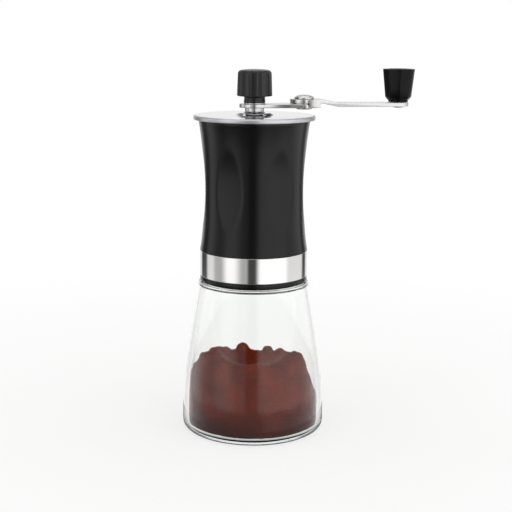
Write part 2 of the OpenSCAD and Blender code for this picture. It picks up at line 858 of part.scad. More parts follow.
module adjust_nut() {
    color(dark_plastic)
    translate([0, 0, nut_z])
    difference() {
        union() {
            cylinder(r = nut_r, h = nut_h - nut_bevel);
            translate([0, 0, nut_h - nut_bevel])
            cylinder(r1 = nut_r, r2 = nut_r - nut_bevel, h = nut_bevel);
        }
        for (i = [0:nut_hollows - 1])
            rotate([0, 0, 360 / nut_hollows * i])
            translate([nut_r + 1, 0, -1])
            cylinder(r = nut_hollow_r, h = nut_h + 2, $fn = 24);
        translate([0, 0, -1])
        cylinder(r = thread_r + run_gap, h = nut_h + 2);
    }
}

// ---- Crank ----

module crank_link() {
    ear_out = eye_r + stop_out;
    color(steel)
    translate([0, 0, link_z])
    difference() {
        union() {
            cylinder(r = link_hub_r, h = plate_t);
            translate([link_len, 0, 0])
            cylinder(r = eye_r, h = plate_t);
            translate([0, -link_w / 2, 0])
            cube([link_len, link_w, plate_t]);
            // Shoulder that stops the arm when the crank is straight
            translate([link_len, 0, 0])
            linear_extrude(height = plate_t)
            polygon([[stop_x, 0], [stop_x, 0.6 - ear_out], [stop_x - 0.6, -ear_out],
                [-shoulder_flat, -ear_out], [-shoulder_len, 0.3 - link_w / 2], [-shoulder_len, 0]]);
        }
        translate([0, 0, -1])
        flatted(shaft_r + run_gap, flat_w + 2 * run_gap, plate_t + 2);
        translate([link_len, 0, -1])
        cylinder(r = rivet_r + 0.01, h = plate_t + 2);
    }
}

module crank_collar() {
    color(steel)
    ring(collar_r, shaft_r + run_gap, collar_z, collar_h);
}

module pivot_rivet() {
    head_z = eye_z + plate_t + run_gap;
    dome_h = rivet_head_h - rivet_edge;
    ball_r = (pow(rivet_head_r, 2) + pow(dome_h, 2)) / (2 * dome_h);
    color(steel)
    translate([link_len, 0, 0])
    union() {
        translate([0, 0, link_z - rivet_foot_h + 0.1])
        cylinder(r = rivet_r, h = head_z - link_z + rivet_foot_h);
        translate([0, 0, link_z - rivet_foot_h])
        cylinder(r1 = rivet_head_r - 1.4, r2 = rivet_head_r - 0.8, h = rivet_foot_h);
        // Domed head
        translate([0, 0, head_z])
        cylinder(r = rivet_head_r, h = rivet_edge);
        intersection() {
            translate([0, 0, head_z + rivet_head_h - ball_r])
            sphere(r = ball_r, $fn = 48);
            translate([0, 0, head_z + rivet_edge])
            cylinder(r = rivet_head_r, h = rivet_head_h);
        }
    }
}

module pivot_washer() {
    color(steel)
    translate([link_len, 0, 0])
    ring(eye_r - 1.2, rivet_r + 0.1, link_top_z, pivot_washer_t);
}

module crank_arm() {
    low = arm_z;
    from = joggle_from;
    to = joggle_from + joggle_len;
    lug_x = stop_x + air_gap;
    lug_in = eye_r + air_gap;
    lug_low = link_top_z - lug_drop;
    color(steel)
    translate([link_len, 0, 0])
    difference() {
        union() {
            intersection() {
                // Side view: the eye lies on the inner link, and a joggle brings the arm down beside it
                translate([0, eye_r + 3, 0])
                rotate([90, 0, 0])
                linear_extrude(height = 2 * eye_r + 6)
                polygon([
                    [-eye_r - 1, eye_z],
                    [from, eye_z],
                    [to, low],
                    [arm_len + 10, low],
                    [arm_len + 10, low + plate_t],
                    [to, low + plate_t],
                    [from, eye_z + plate_t],
                    [-eye_r - 1, eye_z + plate_t]]);
                // Plan view
                translate([0, 0, low - 1])
                linear_extrude(height = joggle_drop + plate_t + 2)
                union() {
                    circle(r = eye_r);
                    translate([arm_len, 0])
                    circle(r = arm_end_r);
                    polygon([
                        [0, -arm_root_w / 2],
                        [arm_len, -arm_end_r],
                        [arm_len, arm_end_r],
                        [0, arm_root_w / 2]]);
                }
            }
            // Stop lug, bent down over the shoulder
            translate([lug_x, -lug_in - plate_t + 0.2, eye_z])
            cube([lug_w, lug_in + plate_t - 4, plate_t]);
            translate([lug_x, -lug_in - plate_t + 0.2, lug_low])
            cube([lug_w, plate_t - 0.2, eye_z - lug_low + 0.5]);
        }
        translate([0, 0, low - 5])
        cylinder(r = rivet_r + run_gap, h = 20);
        translate([arm_len, 0, low - 5])
        cylinder(r = pin_r + 0.01, h = 20);
    }
}

module handle_pin() {
    tip_z = knob_top_z - pin_short;
    color(steel)
    translate([pin_x, 0, 0])
    union() {
        translate([0, 0, arm_z - pin_head_t])
        cylinder(r1 = pin_head_r - 0.4, r2 = pin_head_r, h = pin_head_t);
        translate([0, 0, arm_z - 0.1])
        cylinder(r = pin_r, h = tip_z - arm_z);
        // Snap collar that keeps the knob on
        translate([0, 0, tip_z - 1.6])
        cylinder(r1 = pin_r, r2 = pin_r + snap_h, h = 0.6);
        translate([0, 0, tip_z - 1])
        cylinder(r1 = pin_r + snap_h, r2 = pin_r - 0.4, h = 1.2);
    }
}

module handle_knob() {
    side_z = knob_z + knob_neck_h + knob_bevel_h;
    tip_z = knob_top_z - pin_short;
    color(black_plastic)
    translate([pin_x, 0, 0])
    difference() {
        union() {
            translate([0, 0, knob_z])
            cylinder(r = knob_neck_r, h = knob_neck_h + 0.6);
            rotate([0, 0, knob_turn])
            translate([0, 0, side_z])
            cylinder(r1 = knob_low_r, r2 = knob_top_r, h = knob_top_z - side_z, $fn = knob_sides);
            rotate([0, 0, knob_turn])
            translate([0, 0, knob_z + knob_neck_h])
            cylinder(r1 = knob_neck_r + 0.3, r2 = knob_low_r, h = knob_bevel_h, $fn = knob_sides);
        }
        // Dished top
        translate([0, 0, knob_top_z - dish_depth])
        cylinder(r1 = knob_top_r * 0.3, r2 = knob_top_r * 0.85, h = dish_depth + 0.01);
        translate([0, 0, knob_z - 1])
        cylinder(r = pin_r + run_gap, h = tip_z - knob_z);
        // Room for the snap collar
        translate([0, 0, tip_z - 1.9])
        cylinder(r = pin_r + snap_h + air_gap, h = 2.6);
    }
}

// ---- Lock knob ----

module lock_washer() {
    color(steel)
    ring(lock_neck_r, thread_r + 0.15, link_top_z, lock_washer_t);
}

module lock_insert() {
    color(brass)
    translate([0, 0, lock_z + 0.2])
    difference() {
        cylinder(r = insert_r, h = top_thread_h - 0.7, $fn = 6);
        translate([0, 0, -1])
        cylinder(r = thread_r + run_gap, h = top_thread_h + 2);
    }
}

module lock_knob() {
    body_low = lock_z + lock_neck_h;
    body_top = body_low + lock_h;
    top_r = lock_r - lock_taper;
    profile = concat(
        [[0, lock_z], [lock_neck_r + 0.2, lock_z], [lock_neck_r - 0.15, body_low - 0.8]],
        [[lock_neck_r + 0.6, body_low], [lock_r - 0.4, body_low], [lock_r, body_low + 0.4]],
        arc(top_r - lock_round, body_top - lock_crown - lock_round, lock_round, 0, 80, 5),
        [[top_r * 0.45, body_top - 0.12], [0, body_top]]);
    color(black_plastic)
    difference() {
        rotate_extrude($fn = 72)
        polygon(profile);
        for (i = [0:flutes - 1])
            rotate([0, 0, 360 / flutes * (i + 0.4)])
            translate([lock_r + 0.05, 0, body_low - 1])
            rotate([0, -atan(lock_taper / lock_h), 0])
            cylinder(r = flute_r, h = lock_h + 4, $fn = 24);
        // Pocket for the insert, and room for the shaft's tip above it
        translate([0, 0, lock_z - 1])
        cylinder(r = insert_r + 0.03, h = top_thread_h + 0.5, $fn = 6);
        translate([0, 0, lock_z])
        cylinder(r = thread_r + 0.4, h = top_thread_h + 1);
    }
}

glass_jar();
coffee_grounds();
jar_seal();
mill_body();
steel_band();
outer_burr();
burr_retainer();
lower_bush();
upper_bush();
lid();
lid_insert();
shaft();
thrust_washer();
shaft_clip();
burr_spring();
spring_washer();
inner_burr();
burr_core();
detent_washer();
adjust_nut();
crank_link();
crank_collar();
pivot_rivet();
pivot_washer();
crank_arm();
handle_pin();
handle_knob();
lock_washer();
lock_insert();
lock_knob();
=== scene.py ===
"""A hand crank coffee grinder: glass jar, black mill body, steel band and lid, folding crank."""

from math import cos, hypot, pi, radians, sin, sqrt, tan

import bmesh
import bpy
from mathutils import Matrix, Vector, noise


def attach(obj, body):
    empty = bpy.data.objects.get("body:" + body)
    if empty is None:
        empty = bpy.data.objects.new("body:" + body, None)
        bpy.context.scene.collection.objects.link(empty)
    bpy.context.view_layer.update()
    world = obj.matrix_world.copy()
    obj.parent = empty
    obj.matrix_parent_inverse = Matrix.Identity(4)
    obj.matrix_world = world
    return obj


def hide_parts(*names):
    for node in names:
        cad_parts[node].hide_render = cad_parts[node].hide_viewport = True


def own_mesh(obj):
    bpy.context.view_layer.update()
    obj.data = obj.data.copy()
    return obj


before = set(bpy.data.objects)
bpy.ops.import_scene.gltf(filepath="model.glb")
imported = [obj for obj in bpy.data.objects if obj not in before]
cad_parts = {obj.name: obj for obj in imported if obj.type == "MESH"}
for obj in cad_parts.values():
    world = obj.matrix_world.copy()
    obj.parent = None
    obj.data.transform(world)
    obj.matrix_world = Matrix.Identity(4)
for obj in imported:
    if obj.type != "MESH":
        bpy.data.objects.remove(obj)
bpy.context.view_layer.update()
scene = bpy.context.scene
scene.view_settings.view_transform = "Standard"


# ---- Camera ----
# A long lens just over half a metre away, a little above the lid, looking down at the mill. The
# crank points to the right and seven degrees away from the camera, which is a hair off level.
# Places here and in the studio are in metres.

IMAGE_PX = 512
FOCAL_PX = 1136
SENSOR_MM = 36
CAMERA_TURN = radians(-7.15)
CAMERA_PITCH = radians(11.41)
CAMERA_ROLL = radians(0.39)
CAMERA_SIDE = 0.00128
CAMERA_BACK = 0.5922
CAMERA_HEIGHT = 0.2128


def turned(x, y, angle):
    """A point on the floor plan, turned about the shaft's axis."""
    return x * cos(angle) - y * sin(angle), x * sin(angle) + y * cos(angle)


lens = bpy.data.cameras.new("camera")
lens.sensor_width = SENSOR_MM
lens.lens = FOCAL_PX * SENSOR_MM / IMAGE_PX
camera = bpy.data.objects.new("camera", lens)
camera.location = (*turned(CAMERA_SIDE, -CAMERA_BACK, CAMERA_TURN), CAMERA_HEIGHT)
camera.rotation_euler = (Matrix.Rotation(CAMERA_TURN, 3, "Z")
                         @ Matrix.Rotation(pi / 2 - CAMERA_PITCH, 3, "X")
                         @ Matrix.Rotation(CAMERA_ROLL, 3, "Z")).to_euler()
scene.collection.objects.link(camera)
scene.camera = camera


# ---- Studio ----
# A white table and a white surround. Tall softboxes stand in an arc on the camera's side, with
# edges that fade into one another, and one hangs overhead. The narrow gap straight in front of the
# mill shows as a dark stripe in everything polished.

WHITE = "FFFFFF"
PAPER = "F4F4F2"
TABLE_R = 6
TABLE_DROP = 0.0002
TABLE_WHITE = 0.7
TABLE_WHITE_FROM = 0.08
TABLE_WHITE_TO = 0.4
JAR_SHADE_R = 0.022
JAR_CLEAR_R = 0.05
SHEEN_R = 0.06
SHEEN = 0.1
STUDIO_DIM = 0.07
STUDIO_ABOVE = 0.3
STUDIO_FILL = 0.35
TABLE_LEFT = 0.12
TABLE_RIGHT = 0.52
TABLE_SIDE = 0.45
MILL_MIDDLE_Z = 0.1
LAMP_AWAY = 2
LAMP_LOW = -18
LAMP_LOW_FADE = 3
LAMP_TOP = 42
OVERHEAD_SIZE = 1.3
OVERHEAD_Z = 1.2
OVERHEAD_BACK = 0.12
OVERHEAD_LEVEL = 1.1

# How far a ray points back, right or up where each part of the surround starts and is full
BEHIND = (0.77, 0.84)
ON_THE_RIGHT = (0.12, 0.35)
PAST_THE_MILL = (-0.25, 0.15)
BELOW = (-0.2, -0.27)
ABOVE = (0.15, 0.4)


def linear(colour):
    """An sRGB hex colour as linear RGBA."""
    parts = [int(colour[i:i + 2], 16) / 255 for i in (0, 2, 4)]
    return [p / 12.92 if p <= 0.04045 else ((p + 0.055) / 1.055) ** 2.4 for p in parts] + [1]


def feed(tree, node, sockets):
    """Sets a node's sockets: a value is stored, and another node's output is linked."""
    for name, value in sockets.items():
        if isinstance(value, bpy.types.NodeSocket):
            tree.links.new(value, node.inputs[name])
        else:
            node.inputs[name].default_value = value


def add(tree, kind, sockets=None, **settings):
    """Adds one shader node with its settings and links."""
    node = tree.nodes.new("ShaderNode" + kind)
    for name, value in settings.items():
        setattr(node, name, value)
    feed(tree, node, sockets or {})
    return node


def paper_material():
    """Seamless white studio paper. The camera and the glass see it as white with a soft shadow.
    Polished parts and the lamps' light meet only the small round of it that the mill stands on,
    so the lamps' lower ends light the mill and show in it."""
    material = bpy.data.materials.new("studio_paper")
    material.use_nodes = True
    tree = material.node_tree
    tree.nodes.clear()
    path = add(tree, "LightPath")
    place = add(tree, "TexCoord")
    away = add(tree, "VectorMath", {0: place.outputs["Object"]}, operation="LENGTH")
    clear = add(tree, "MapRange", {"Value": away.outputs["Value"], "From Min": JAR_SHADE_R,
                                   "From Max": JAR_CLEAR_R})
    through = add(tree, "Math", {0: path.outputs["Is Transmission Ray"],
                                 1: clear.outputs["Result"]}, operation="MULTIPLY")
    seen = add(tree, "Math", {0: path.outputs["Is Camera Ray"], 1: through.outputs[0]},
               operation="MAXIMUM")
    far = add(tree, "MapRange", {"Value": away.outputs["Value"], "From Min": TABLE_WHITE_FROM,
                                 "From Max": TABLE_WHITE_TO, "To Min": TABLE_WHITE,
                                 "To Max": 1.0})
    share = add(tree, "Math", {0: seen.outputs[0], 1: far.outputs["Result"]},
                operation="MULTIPLY")
    lit = add(tree, "BsdfDiffuse", {"Color": linear(PAPER)})
    glow = add(tree, "Emission", {"Color": linear(WHITE), "Strength": 1.0})
    mix = add(tree, "MixShader", {0: share.outputs[0], 1: lit.outputs[0], 2: glow.outputs[0]})
    beyond = add(tree, "Math", {0: away.outputs["Value"], 1: SHEEN_R}, operation="GREATER_THAN")
    sheen = add(tree, "Emission", {"Color": linear(WHITE), "Strength": SHEEN})
    nothing = add(tree, "BsdfTransparent")
    mirrored = add(tree, "MixShader", {0: beyond.outputs[0], 1: sheen.outputs[0],
                                       2: nothing.outputs[0]})
    polished = add(tree, "Math", {0: path.outputs["Is Glossy Ray"],
                                  1: path.outputs["Is Reflection Ray"]}, operation="MULTIPLY")
    passing = add(tree, "Math", {0: polished.outputs[0], 1: path.outputs["Is Shadow Ray"]},
                  operation="MAXIMUM")
    paper = add(tree, "MixShader", {0: passing.outputs[0], 1: mix.outputs[0],
                                    2: mirrored.outputs[0]})
    add(tree, "OutputMaterial", {"Surface": paper.outputs[0]})
    return material


def table_top():
    """A wide white table top, a hair under the base of the jar."""
    bm = bmesh.new()
    bmesh.ops.create_circle(bm, cap_ends=True, segments=96, radius=TABLE_R)
    mesh = bpy.data.meshes.new("table_top")
    bm.to_mesh(mesh)
    bm.free()
    mesh.materials.append(paper_material())
    table = bpy.data.objects.new("table_top", mesh)
    table.location.z = -TABLE_DROP
    scene.collection.objects.link(table)


def softbox(name, start, end, level, start_fade, end_fade):
    """An upright softbox that faces the mill, from one angle to another round from the camera,
    rightwards. Its side edges fade over the two angles given. All angles are in degrees."""
    half = radians((end - start) / 2)
    width = 2 * LAMP_AWAY * tan(half)
    bottom, top = (LAMP_AWAY * tan(radians(angle)) for angle in (LAMP_LOW, LAMP_TOP))
    light = bpy.data.lights.new(name, "AREA")
    light.shape = "RECTANGLE"
    light.size = width
    light.size_y = top - bottom
    light.energy = level * pi * width * (top - bottom)
    light.use_nodes = True
    tree = light.node_tree
    tree.nodes.clear()
    place = add(tree, "SeparateXYZ", {0: add(tree, "NewGeometry").outputs["Parametric"]})
    fade = 1.0
    start_at, end_at = ((tan(half) - tan(max(0, half - radians(angle)))) * LAMP_AWAY / width
                        for angle in (start_fade, end_fade))
    low_at = (LAMP_AWAY * tan(radians(LAMP_LOW + LAMP_LOW_FADE)) - bottom) / (top - bottom)
    for side, nought, full in (("X", 0, start_at), ("X", 1, 1 - end_at), ("Y", 0, low_at)):
        if nought != full:
            edge = add(tree, "MapRange", {"Value": place.outputs[side], "From Min": nought,
                                          "From Max": full}, interpolation_type="SMOOTHSTEP")
            fade = add(tree, "Math", {0: fade, 1: edge.outputs[0]},
                       operation="MULTIPLY").outputs[0]
    glow = add(tree, "Emission", {"Color": linear(WHITE), "Strength": fade})
    add(tree, "OutputLight", {"Surface": glow.outputs[0]})
    lamp = bpy.data.objects.new(name, light)
    x, y = turned(0, -LAMP_AWAY, CAMERA_TURN + radians((start + end) / 2))
    lamp.location = (x, y, MILL_MIDDLE_Z + (bottom + top) / 2)
    lamp.rotation_euler = Vector((-x, -y, 0)).to_track_quat("-Z", "Y").to_euler()
    lamp.visible_camera = False
    scene.collection.objects.link(lamp)


def overhead():
    """A square softbox above the mill and a little behind it."""
    light = bpy.data.lights.new("softbox_overhead", "AREA")
    light.shape = "SQUARE"
    light.size = OVERHEAD_SIZE
    light.energy = OVERHEAD_LEVEL * pi * OVERHEAD_SIZE ** 2
    lamp = bpy.data.objects.new("softbox_overhead", light)
    lamp.location = (*turned(0, OVERHEAD_BACK, CAMERA_TURN), OVERHEAD_Z)
    lamp.visible_camera = False
    scene.collection.objects.link(lamp)


def surround():
    """The surround is white for the camera, and white behind the mill in what steel and glass
    show. Elsewhere they show a dim studio, paler overhead, with the table half lit on the right."""
    world = bpy.data.worlds.new("surround")
    world.use_nodes = True
    scene.world = world
    tree = world.node_tree
    tree.nodes.clear()
    path = add(tree, "LightPath")
    way = add(tree, "TexCoord")
    back, right = Vector((*turned(0, 1, CAMERA_TURN), 0)), Vector((*turned(1, 0, CAMERA_TURN), 0))
    backward, rightward, upward = (
        add(tree, "VectorMath", {0: way.outputs["Generated"], 1: axis}, operation="DOT_PRODUCT")
        for axis in (back, right, Vector((0, 0, 1))))
    behind, beside, beyond, lower, above = (
        add(tree, "MapRange", {"Value": facing.outputs["Value"], "From Min": starts,
                               "From Max": full, "To Min": low, "To Max": high})
        for facing, (starts, full), low, high in (
            (backward, BEHIND, STUDIO_DIM, 1.0),
            (rightward, ON_THE_RIGHT, STUDIO_DIM, TABLE_RIGHT),
            (backward, PAST_THE_MILL, TABLE_LEFT, TABLE_SIDE),
            (upward, BELOW, STUDIO_DIM, 1.0),
            (upward, ABOVE, 0.0, STUDIO_ABOVE)))
    table = add(tree, "Math", {0: beside.outputs[0], 1: beyond.outputs[0]}, operation="MAXIMUM")
    lit = add(tree, "Math", {0: table.outputs[0], 1: lower.outputs[0]}, operation="MULTIPLY")
    around = add(tree, "Math", {0: lit.outputs[0], 1: behind.outputs[0]}, operation="MAXIMUM")
    reflected = add(tree, "Math", {0: around.outputs[0], 1: above.outputs[0]},
                    operation="MAXIMUM")
    shiny = add(tree, "Math", {0: path.outputs["Is Glossy Ray"],
                               1: path.outputs["Is Transmission Ray"]}, operation="MAXIMUM")
    level = add(tree, "Mix", {0: shiny.outputs[0], 2: STUDIO_FILL, 3: reflected.outputs[0]})
    strength = add(tree, "Mix", {0: path.outputs["Is Camera Ray"], 2: level.outputs[0], 3: 1.0})
    glow = add(tree, "Background", {"Color": linear(WHITE), "Strength": strength.outputs[0]})
    add(tree, "OutputWorld", {"Surface": glow.outputs[0]})


table_top()
softbox("softbox_right", start=3, end=46, level=1.38, start_fade=12, end_fade=0)
softbox("softbox_mid_right", start=46, end=84, level=1.38, start_fade=0, end_fade=14)
softbox("softbox_far_right", start=72, end=130, level=0.9, start_fade=13, end_fade=8)
softbox("softbox_left", start=-74, end=-22, level=0.9, start_fade=20, end_fade=22)
softbox("softbox_near_left", start=-66, end=-9, level=0.5, start_fade=0, end_fade=6)
softbox("softbox_mid_left", start=-122, end=-66, level=0.5, start_fade=8, end_fade=0)
softbox("softbox_far_left", start=-118, end=-86, level=0.42, start_fade=8, end_fade=12)
overhead()
surround()


# ---- Glass jar ----
# Thick clear flint glass, blown in a mould: a wide foot, sides that draw in to the shoulder, and
# a neck with a moulded screw thread, which the steel band hides.

JAR_R = 37.85
WIDE_Z = 10
JAR_H = 80.4
SHOULDER_R = 29.25
SHOULDER_ROUND = 1
SHOULDER_T = 1.5
IN_ROUND = 1.2
FOOT_ROUND = 4
GLASS_T = 3
FLOOR_T = 2.6
FLOOR_ROUND = 2.5
PUNT_H = 0.8
PUNT_R = 30.5
PUNT_FLAT_R = 16
NECK_R = 25.2
NECK_T = 2.6
NECK_Z = 92.4
NECK_FILLET = 0.6
RIM_ROUND_OUT = 0.7
RIM_ROUND_IN = 0.6
SWEEP = radians(125)
THREAD_Z = 84.6
THREAD_LEAD = 4
THREAD_TURNS = 1.5
THREAD_W = 1.6
THREAD_H = 0.3
THREAD_SLOPE = 0.5
THREAD_STEPS = 120
GLASS_SWELL = 16.7
CLEAR_PASSES = 5


def mm(value):
    """Millimetres as the metres that Blender works in."""
    return value * 0.001


def arc(x, z, radius, start, end, steps):
    """Points on an arc of an outline, from one angle to another in degrees."""
    angles = [radians(start + (end - start) * i / steps) for i in range(steps + 1)]
    return [(x + radius * cos(a), z + radius * sin(a)) for a in angles]


def revolve(outline, steps=160, bm=None):
    """Spins a closed outline of (radius, height) points in millimetres round the shaft."""
    bm = bm or bmesh.new()
    rim = [bm.verts.new((mm(r), 0, mm(z))) for r, z in outline]
    edges = [bm.edges.new((a, b)) for a, b in zip(rim, rim[1:] + rim[:1])]
    bmesh.ops.spin(bm, geom=rim + edges, cent=(0, 0, 0), axis=(0, 0, 1), angle=2 * pi,
                   steps=steps, use_merge=True)
    bmesh.ops.remove_doubles(bm, verts=bm.verts, dist=1e-6)
    bmesh.ops.dissolve_degenerate(bm, edges=bm.edges, dist=1e-7)
    bmesh.ops.recalc_face_normals(bm, faces=bm.faces)
    return bm


def make(name, bm, material, body, slot, *nodes, crease=35):
    """Turns a bmesh into a piece that rides on a body and stands for the nodes it replaces."""
    mesh = bpy.data.meshes.new(name)
    bm.to_mesh(mesh)
    bm.free()
    mesh.materials.append(material)
    mesh.shade_smooth()
    mesh.set_sharp_from_angle(angle=radians(crease))
    piece = bpy.data.objects.new(name, mesh)
    scene.collection.objects.link(piece)
    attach(piece, body)
    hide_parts(*nodes)
    return piece


def start_material(name):
    """A new node material, with its tree and its Principled shader."""
    material = bpy.data.materials.new(name)
    material.use_nodes = True
    return material, material.node_tree, material.node_tree.nodes["Principled BSDF"]


def jar_side(z):
    """Radius of the glass at a height: a sine sweep from the wide foot in to the shoulder."""
    t = max(0, (z - WIDE_Z) / (JAR_H - WIDE_Z))
    return JAR_R - (JAR_R - SHOULDER_R) * (1 - cos(SWEEP * t)) / (1 - cos(SWEEP))


def jar_outline(rows=40):
    """The jar's wall cut through: under the foot, up the outside, and down the inside."""
    side_z = JAR_H - SHOULDER_ROUND
    in_top_z = JAR_H - SHOULDER_T
    in_side_z = in_top_z - IN_ROUND
    in_low_z = FLOOR_T + FLOOR_ROUND
    in_r = NECK_R - NECK_T
    outline = [(0, PUNT_H), (PUNT_FLAT_R, PUNT_H), (24, PUNT_H * 0.8), (28, PUNT_H * 0.3)]
    outline += [(PUNT_R, 0)]
    outline += arc(jar_side(FOOT_ROUND) - FOOT_ROUND, FOOT_ROUND, FOOT_ROUND, -90, 0, 10)
    for i in range(1, rows + 1):
        z = FOOT_ROUND + (side_z - FOOT_ROUND) * i / rows
        outline.append((jar_side(z), z))
    outline += arc(jar_side(side_z) - SHOULDER_ROUND, side_z, SHOULDER_ROUND, 12, 90, 8)
    outline += arc(NECK_R + NECK_FILLET, JAR_H + NECK_FILLET, NECK_FILLET, -90, -180, 4)
    outline += arc(NECK_R - RIM_ROUND_OUT, NECK_Z - RIM_ROUND_OUT, RIM_ROUND_OUT, 0, 90, 5)
    outline += arc(in_r + RIM_ROUND_IN, NECK_Z - RIM_ROUND_IN, RIM_ROUND_IN, 90, 180, 4)
    outline += [(in_r, in_top_z + 0.4), (in_r + 0.4, in_top_z)]
    outline += arc(jar_side(in_side_z) - GLASS_T - IN_ROUND, in_side_z, IN_ROUND, 84, 8, 7)
    for i in range(1, rows + 1):
        z = in_side_z + (in_low_z - in_side_z) * i / rows
        outline.append((jar_side(z) - GLASS_T, z))
    outline += arc(jar_side(in_low_z) - GLASS_T - FLOOR_ROUND, in_low_z, FLOOR_ROUND, 0, -90, 10)
    return outline + [(0, FLOOR_T)]


def flint_glass():
    """Mould-blown flint glass: clear and smooth, with the faint waviness that the mould leaves.
    The lamps' light goes straight past it, so that what is inside is lit, and so does a ray that
    has crossed it many times, so that the foot's thick corner stays as bright as its room."""
    material, tree, surface = start_material("mould_blown_flint_glass")
    place = add(tree, "TexCoord")
    swell = add(tree, "TexNoise", {"Vector": place.outputs["Object"],
                                   "Scale": 1 / mm(GLASS_SWELL), "Detail": 1})
    bump = add(tree, "Bump", {"Strength": 0.1, "Distance": mm(0.5), "Height": swell.outputs["Fac"]})
    feed(tree, surface, {"Base Color": linear("FDFEFD"), "Roughness": 0.01, "IOR": 1.52,
                         "Specular Tint": linear("BCBCBC"), "Transmission Weight": 1.0,
                         "Normal": bump.outputs["Normal"]})
    path = add(tree, "LightPath")
    past = add(tree, "BsdfTransparent", {"Color": linear("F0F4F2")})
    deep = add(tree, "Math", {0: path.outputs["Ray Depth"], 1: CLEAR_PASSES},
               operation="GREATER_THAN")
    plain = add(tree, "Math", {0: path.outputs["Is Shadow Ray"], 1: deep.outputs[0]},
                operation="MAXIMUM")
    mix = add(tree, "MixShader", {0: plain.outputs[0], 1: surface.outputs[0], 2: past.outputs[0]})
    feed(tree, tree.nodes["Material Output"], {"Surface": mix.outputs[0]})
    return material


def screw_thread(bm):
    """One raised thread round the neck, swept upwards as it winds."""
    low, high, root, crest = THREAD_Z, THREAD_Z + THREAD_W, NECK_R - 0.1, NECK_R + THREAD_H
    corners = [(root, low), (crest, low + THREAD_SLOPE), (crest, high - THREAD_SLOPE), (root, high)]
    face = bm.faces.new([bm.verts.new((mm(r), 0, mm(z))) for r, z in corners])
    bmesh.ops.spin(bm, geom=[face, *face.verts, *face.edges], cent=(0, 0, 0), axis=(0, 0, 1),
                   angle=2 * pi * THREAD_TURNS, steps=THREAD_STEPS,
                   dvec=(0, 0, mm(THREAD_LEAD * THREAD_TURNS) / THREAD_STEPS))


bm = revolve(jar_outline(), 192)
screw_thread(bm)
bmesh.ops.holes_fill(bm, edges=[e for e in bm.edges if e.is_boundary], sides=4)
bmesh.ops.recalc_face_normals(bm, faces=bm.faces)
make("jar_glass", bm, flint_glass(), "jar", "clear_glass", "glass_jar")


# ---- Ground coffee ----
# A heap of reddish-brown grounds as it falls from the burrs: packed against the glass, flat and
# lumpy on top, with soft clumps that hold together until the jar is shaken.

COFFEE_H = 32
COFFEE_GAP = 0.15
HEAP_H = 8.4
HEAP_CROWN = 0.8
HEAP_TURN = radians(-10)
HEAP_LEAN = radians(16)
SLIP_ANGLE = radians(21)
SLIP_H = 14.5
# Each clump on the ridge: how far across, its radius, and how far it stands above the heap
CLUMPS = ((-27.6, 2.6, -3.4), (-24.6, 2.8, -0.9), (-21.6, 2.9, 1.9), (-18.6, 3.2, 2.7),
          (-15.0, 2.9, 2.5), (-9.8, 2.2, 1.2), (-5.6, 3.6, 4.8), (-0.6, 2.4, 1.3), (2.0, 2.2, 0.9),
          (7.8, 2.9, 3.3), (14.2, 2.9, 2.1), (17.2, 2.2, 0.7), (22.4, 2.8, 0.7))
CLUMP_BACK = 1.3
LOOSE_CLUMPS = 60
LOOSE_CLUMP_R = 1.7
LOOSE_CLUMP_SPREAD = 2.2
GOLDEN_ANGLE = 137.5
GRAIN = 0.7
PATCH = 11.8
CRUMB = 1.2
CRUMB_RELIEF = 0.12
CLOD = 2.8
CLOD_RELIEF = 0.4
# Painted shade on the coffee: deepest at the first height and gone by the second
PAINTED_SHADE_LOW_H = 4
PAINTED_SHADE_TOP_H = 26
SKIN_GRID = 0.7


def slip_reach(z):
    """How far to the side the heap reaches at a height, where it has slipped from the glass."""
    side_r = jar_side(COFFEE_H) - GLASS_T - COFFEE_GAP
    return side_r + 1 - (z - COFFEE_H + SLIP_H) * tan(SLIP_ANGLE)


def heap():
    """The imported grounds: they follow the glass, slope away at the far side, and have slipped
    from the glass on one side. Clumps stand along the ridge, and small ones lie all over."""
    low_z = FLOOR_T + COFFEE_GAP + FLOOR_ROUND
    wall = GLASS_T + COFFEE_GAP
    side_r = jar_side(COFFEE_H) - wall
    top_z = COFFEE_H + HEAP_H
    outline = [(0, FLOOR_T + COFFEE_GAP)]
    outline += arc(jar_side(low_z) - wall - FLOOR_ROUND, low_z, FLOOR_ROUND, -90, 0, 6)
    outline += [(jar_side(z) - wall, z) for z in range(8, COFFEE_H + 1)]
    brow_r, brow_z = side_r - HEAP_H * 0.9, top_z - HEAP_CROWN
    outline += [(side_r + (brow_r - side_r) * i / 12, COFFEE_H + (brow_z - COFFEE_H) * i / 12)
                for i in range(1, 13)]
    outline += [(brow_r * (1 - i / 16), brow_z + HEAP_CROWN * i / 16) for i in range(1, 17)]
    bm = revolve(outline, 128)
    for vert in bm.verts:
        x, y, z = vert.co * 1000
        slope_z = top_z - HEAP_CROWN * 0.3 - y * tan(HEAP_LEAN)
        vert.co.z = mm(min(z, max(slope_z, FLOOR_T + 1)))
        vert.co.x = mm(min(x, slip_reach(z)))
    for across, radius, rise in CLUMPS:
        lump(bm, across, CLUMP_BACK, radius, top_z - radius + rise)
    for i in range(LOOSE_CLUMPS):
        turn = radians(GOLDEN_ANGLE * i)
        out = (side_r - 3) * sqrt((i + 0.5) / LOOSE_CLUMPS)
        radius = (LOOSE_CLUMP_R
                  + LOOSE_CLUMP_SPREAD * abs(noise.noise(Vector((i * 1.7, 0.3, 0.5)))))
        x, y = out * cos(turn), out * sin(turn)
        z = COFFEE_H + min(HEAP_H, (side_r - out) / 0.9)
        z = min(z, top_z - y * tan(HEAP_LEAN))
        if x <= slip_reach(z) - radius * 0.6:
            lump(bm, x, y, radius, z - radius * 0.62)
    bmesh.ops.rotate(bm, verts=bm.verts, cent=(0, 0, 0), matrix=Matrix.Rotation(HEAP_TURN, 3, "Z"))
    return bm


